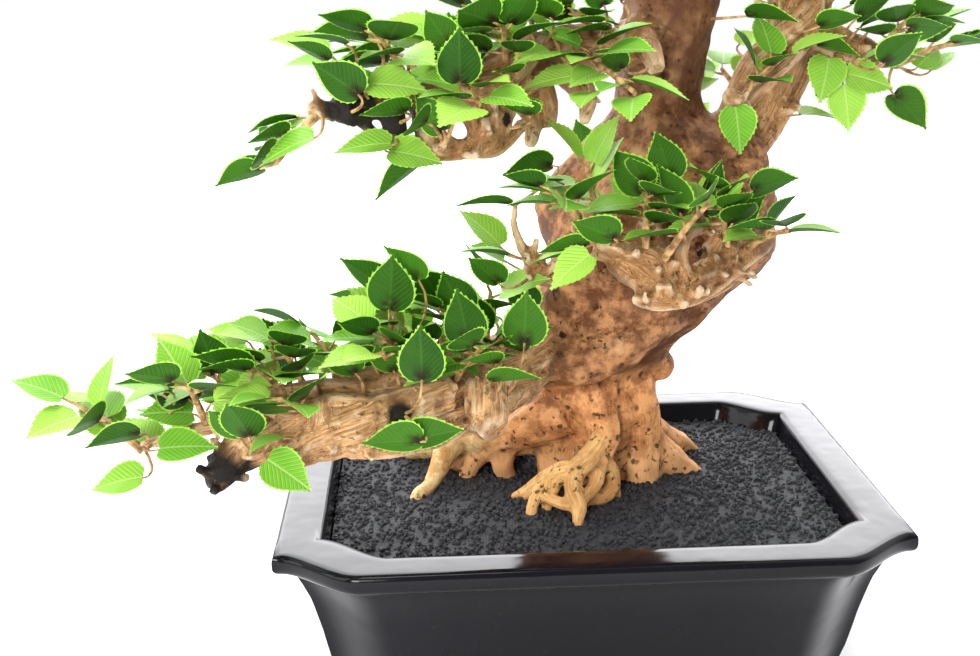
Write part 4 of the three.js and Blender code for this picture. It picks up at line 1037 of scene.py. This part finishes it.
# Leaves that stand out at the front of each limb: the middle, the way to the tip, the way that the upper side
# faces, and how far below its foot the stalk leaves the wood.
front_leaves = {
    "low_left": [
        ((-29, -85, 188), (0.05, 0.1, 1), (0.1, 1, 0.1), 22),
        ((-70, -112, 182), (0, 0.1, 1), (0.05, 1, 0.15), 14),
        ((-105, -117, 174), (0.5, 0, 0.8), (-0.2, 1, 0.3), 9),
        ((-34, -94, 166), (0.9, -0.1, 0.2), (0, 0.6, 0.8), 4),
        ((-81, -113, 149), (-0.9, 0, 0.1), (0, 0.9, 0.5), 2),
        ((-65, -110, 150), (0.9, 0, 0.3), (0, 0.9, 0.5), 2),
        ((-119, -119, 139), (0.7, -0.3, -0.4), (-0.1, -0.7, 0.7), -8),
        ((-117, -97, 183), (0.1, 0.1, 1), (0, 1, 0.1), 14),
        ((-109, -97, 188), (-0.4, 0.1, 0.9), (0.1, 0.95, 0.3), 14),
        ((-108, -108, 179), (-0.8, 0, 0.2), (0, 0.9, 0.5), 9),
        ((-75, -80, 209), (-0.6, 0, 0.8), (0.6, 0.7, 0.4), 22),
        ((-90, -80, 205), (-0.7, 0, 0.7), (0.5, 0.8, 0.4), 22),
        ((-80, -84, 202), (0.1, 0, 1), (0.1, 1, 0), 20),
        ((-183, -112, 153), (-1, 0, -0.1), (0, 0.7, 0.7), 4),
        ((-182, -118, 138), (-0.9, 0, -0.1), (0, -0.4, 0.9), 2),
        ((-136, -112, 166), (0.9, 0, 0.1), (0, -0.5, 0.9), 9),
        ((-155, -118, 151), (0.9, 0, 0.1), (0, -0.45, 0.9), 7),
        ((-133, -100, 190), (-0.6, 0, 0.8), (0.5, 0.8, 0.4), 14),
    ],
    "middle": [
        ((54, -74, 225), (0.3, -0.4, -0.7), (0.05, -0.8, 0.55), -4),
        ((32, -76, 229), (0.05, 0.1, 1), (0, 1, 0.05), 14),
        ((14, -62, 239), (-0.5, 0.1, 0.8), (0.3, 0.9, 0.2), 20),
        ((20, -71, 237), (-0.5, 0, 0.85), (0.25, 0.95, 0.25), 18),
        ((-3, -73, 228), (-0.45, 0.1, 0.85), (0.3, 0.9, 0.3), 8),
        ((-2, -81, 221), (-0.6, -0.1, 0.35), (0, 0.8, 0.6), 4),
        ((-14, -75, 212), (-1, -0.1, 0.05), (0, 0.6, 0.8), 2),
        ((-14, -83, 205), (-0.8, -0.2, -0.5), (-0.1, -0.5, 0.85), -4),
        ((-41, -56, 222), (-1, 0, 0.15), (0, 0.3, 1), 2),
        ((-25, -48, 239), (-1, 0, -0.05), (0, 0.7, 0.7), 6),
        ((68, -66, 229), (0.9, 0.2, 0.3), (0, 0.8, 0.6), 6),
        ((76, -60, 221), (1, 0, -0.05), (0, -0.35, 0.95), 4),
        ((30, -47, 242), (-0.3, 0.3, 0.9), (0, 1, 0.1), 16),
    ],
    "up_left": [
        ((-69, -104, 253), (0.8, -0.1, -0.1), (0, -0.6, 0.8), 0),
        ((-88, -104, 257), (-1, 0, 0), (0, -0.35, 0.9), 0),
        ((-77, -97, 244), (-0.8, 0, -0.5), (-0.3, 0.5, 0.8), -4),
        ((-97, -101, 281), (-0.6, 0, 0.5), (0, 0.9, 0.5), 6),
        ((-77, -107, 281), (0.8, -0.2, 0), (0, -0.6, 0.8), 6),
        ((-115, -108, 257), (-0.9, 0, -0.3), (0, -0.3, 1), 0),
        ((-52, -104, 286), (0, 0, 1), (0, 1, 0.1), 12),
    ],
    "right": [
        ((108, -2, 270), (-0.2, -0.4, -0.6), (0, -0.8, 0.6), 0),
        ((128, 2, 269), (0.9, -0.2, -0.2), (0, -0.8, 0.6), 0),
        ((118, -2, 254), (0.2, -0.1, -1), (0, -0.9, 0.2), -8),
        ((149, 6, 252), (0.7, 0, -0.6), (0.2, 0.7, 0.6), -8),
        ((64, -28, 250), (0.1, -0.3, -0.9), (0, -0.9, 0.4), 4),
    ],
}
wood_corners = [v.co.copy() for v in wood.data.vertices]
wood_tree = BVHTree.FromPolygons(wood_corners, [p.vertices[:] for p in wood.data.polygons])
room_low, room_high = (Vector(corner) for corner in cad_box)


def blade_points(foot, ahead, face, length):
    sideways = face.cross(ahead)
    return [foot + length * (s * ahead + y * sideways + z * face) for s, y, z in pattern_points]


standing = []  # the leaves that already stand, as search trees to try a new one against, and their middles
leaf_reach, room_margin, stalk_end = 24 * mm, 1 * mm, 1.5 * mm


def blade_tree(points):
    return BVHTree.FromPolygons(points, [face for face, _ in pattern_faces])


def touches(tree, middle):
    near = [other for other, at in standing if (at - middle).length < leaf_reach]
    return bool(tree.overlap(wood_tree)) or any(tree.overlap(other) for other in near)


def on_frame(ahead, face):
    """A leaf's way ahead at length 1, and the way its upper side faces square to that."""
    ahead = ahead.normalized()
    return ahead, (face - ahead * face.dot(ahead)).normalized()


chance = np.random.default_rng(7)
sprays = {name: read_spray(name) for name in sorted(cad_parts) if name.startswith("spray")}
for stem, leaves in sprays.values():
    for foot, ahead, face, length in leaves:
        standing.append((blade_tree(blade_points(foot, ahead, face, length)), foot + ahead * length / 2))
extra = {name: [] for name in sprays}


def sprays_of(pad):
    first = f"spray_{pad}_"
    return [name for name in sprays if name.startswith(first) and name[len(first):].isdigit()]


def add_leaf(own, spot, root, slope, foot, ahead, face, length):
    """Keeps a new leaf with the nearest spray, if it stays clear of everything that stands."""
    points = blade_points(foot, ahead, face, length)
    for p in points:
        if any(p[i] < room_low[i] + room_margin or p[i] > room_high[i] - room_margin for i in range(3)):
            return False
    tree = blade_tree(points)
    if touches(tree, spot):
        return False
    stalk = root - foot
    if wood_tree.ray_cast(foot, stalk.normalized(), stalk.length - stalk_end)[0] is not None:
        return False
    standing.append((tree, spot))
    nearest_spray = min(own, key=lambda name: (sprays[name][0][-1][0] - spot).length)
    extra[nearest_spray].append((root - slope * 1.2 * mm, foot, ahead, face, length))
    return True


def hides_wood(pad, spot):
    """Whether a leaf there would stand before the bare wood that shows at the front of its limb."""
    if pad == "up_left":
        return spot.x > 18 * mm
    return pad == "low_left" and spot.x > -0.125 and spot.z < 0.172 - 0.35 * (spot.y + 0.095)


# A leaf that touches another or the wood is tried again, further and further from its place.
front_tries, wander, longest_stalk = 50, 0.08, 45 * mm
for pad, leaves in front_leaves.items():
    own = sprays_of(pad)
    for place, ahead, face, below in leaves:
        ahead, face = on_frame(Vector(ahead), Vector(face))
        length = leaf_length * chance.uniform(0.95, 1.12) * mm
        for attempt in range(front_tries):
            spot = (Vector(place) + Vector(chance.normal(0, wander * attempt, 3))) * mm
            foot = spot - ahead * length / 2
            root, slope, _, _ = wood_tree.find_nearest(foot + Vector((0, 4, -below)) * mm)
            in_reach = (root - foot).length < longest_stalk
            if in_reach and add_leaf(own, spot, root, slope, foot, ahead, face, length):
                break

tries_for_each, shortest_stalk, long_stalk = 40, 4 * mm, 17 * mm
for pad, (middle, heading, half_wide, count, upright_share) in pads.items():
    middle = Vector(middle) * mm
    heading = Vector((*heading, 0)).normalized()
    aside = Vector((0, 0, 1)).cross(heading)
    own = sprays_of(pad)
    model = [leaf for name in own for leaf in sprays[name][1]]
    placed = tries = 0
    while placed < count and tries < tries_for_each * count:
        tries += 1
        foot, ahead, face, length = model[chance.integers(len(model))]
        spot = foot + ahead * length / 2 + Vector(chance.normal((0, 0, 0), (10, 10, 7), 3)) * mm
        out = (spot - middle).dot(aside) / (half_wide * mm)
        upright = chance.random() < upright_share
        ahead = heading * chance.uniform(0.3, 1) + aside * (0.5 * out + chance.normal(0, 0.3))
        ahead += Vector((0, 0, chance.uniform(0.8, 1.8) if upright else chance.uniform(-0.1, 0.6)))
        face = Vector((0, 0, 1)) - aside * out * chance.uniform(0.2, 1.2) + Vector(chance.normal(0, 0.28, 3))
        if upright:
            face += Vector((0, 1.6, 0))
        ahead, face = on_frame(ahead, face)
        length = leaf_length * chance.uniform(0.72, 1.08) * mm
        foot = spot - ahead * length / 2
        root, slope, _, _ = wood_tree.find_nearest(foot - Vector((0, 0, 5 * mm)) - ahead * 5 * mm)
        lift = foot - root
        grown_out = lift.dot(ahead) >= 0.25 * lift.length and spot.z >= root.z - 2 * mm
        if not shortest_stalk < lift.length < long_stalk or not grown_out or hides_wood(pad, spot):
            continue
        placed += add_leaf(own, spot, root, slope, foot, ahead, face, length)


stem_reach, stem_sunk, past_bark = 20 * mm, 4 * mm, 1.5 * mm


def rooted(stem):
    """A spray's stem with its foot carried on into the wood."""
    (foot, radius), (second, _) = stem[:2]
    way = (foot - second).normalized()
    hit, slope, _, gap = wood_tree.ray_cast(foot, way, stem_reach)
    if hit is None:
        sunk = stem_sunk
    elif slope.dot(way) > 0:  # the foot is in the wood already
        sunk = gap / 2
    else:
        sunk = gap + past_bark
    return [(foot + way * sunk, radius * 1.1)] + stem


stem_sides, stalk_sides, stalk_steps = 7, 5, 5
stalk_radius, stalk_taper = 0.75, 0.35
for name, (stem, leaves) in sprays.items():
    points, faces, looks = [], [], []
    tube(points, faces, looks, rooted(stem), stem_sides)
    stalks = [(leaf[0] - leaf[1] * petiole * mm, *leaf) for leaf in leaves] + extra[name]
    for root, foot, ahead, face, length in stalks:
        reach = (foot - root).length
        bend = foot - ahead * 0.45 * reach - face * 0.05 * reach
        end = foot + ahead * 0.4 * mm - face * 0.25 * mm
        line = []
        for i in range(stalk_steps + 1):
            u = i / stalk_steps
            at = (1 - u) ** 2 * root + 2 * u * (1 - u) * bend + u * u * end
            line.append((at, (stalk_radius - stalk_taper * u) * mm))
        tube(points, faces, looks, line, stalk_sides)
    uvs = [(0, 0)] * len(points)
    rims = [0.0] * len(points)
    draws = [0.5] * len(points)
    for _, foot, ahead, face, length in stalks:
        first = len(points)
        points += blade_points(foot, ahead, face, length)
        uvs += [(s, 0.5 + y) for s, y, z in pattern_points]
        rims += pattern_rims
        draws += [chance.random()] * len(pattern_points)
        for corners, over in pattern_faces:
            faces.append(tuple(first + i for i in corners))
            looks.append(UPPER_SIDE if over else UNDERSIDE)
    piece = mesh_piece(name.replace("spray", "leafy_twig"), [tuple(p) for p in points], faces)
    coat(piece, leaf_upper, leaf_lower, twig_bark)
    piece.data.polygons.foreach_set("material_index", looks)
    paint(piece, "rim_highlight", rims)
    paint(piece, "draw", draws)
    blade_map = piece.data.uv_layers.new(name="blade")
    point_of_corner = values_of(piece.data.loops, "vertex_index", 1, np.int32)
    blade_map.data.foreach_set("uv", np.array(uvs)[point_of_corner].ravel())
    only(piece)
    bpy.ops.object.shade_smooth_by_angle(angle=math.radians(30))
    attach(piece, "root")
    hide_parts(name)
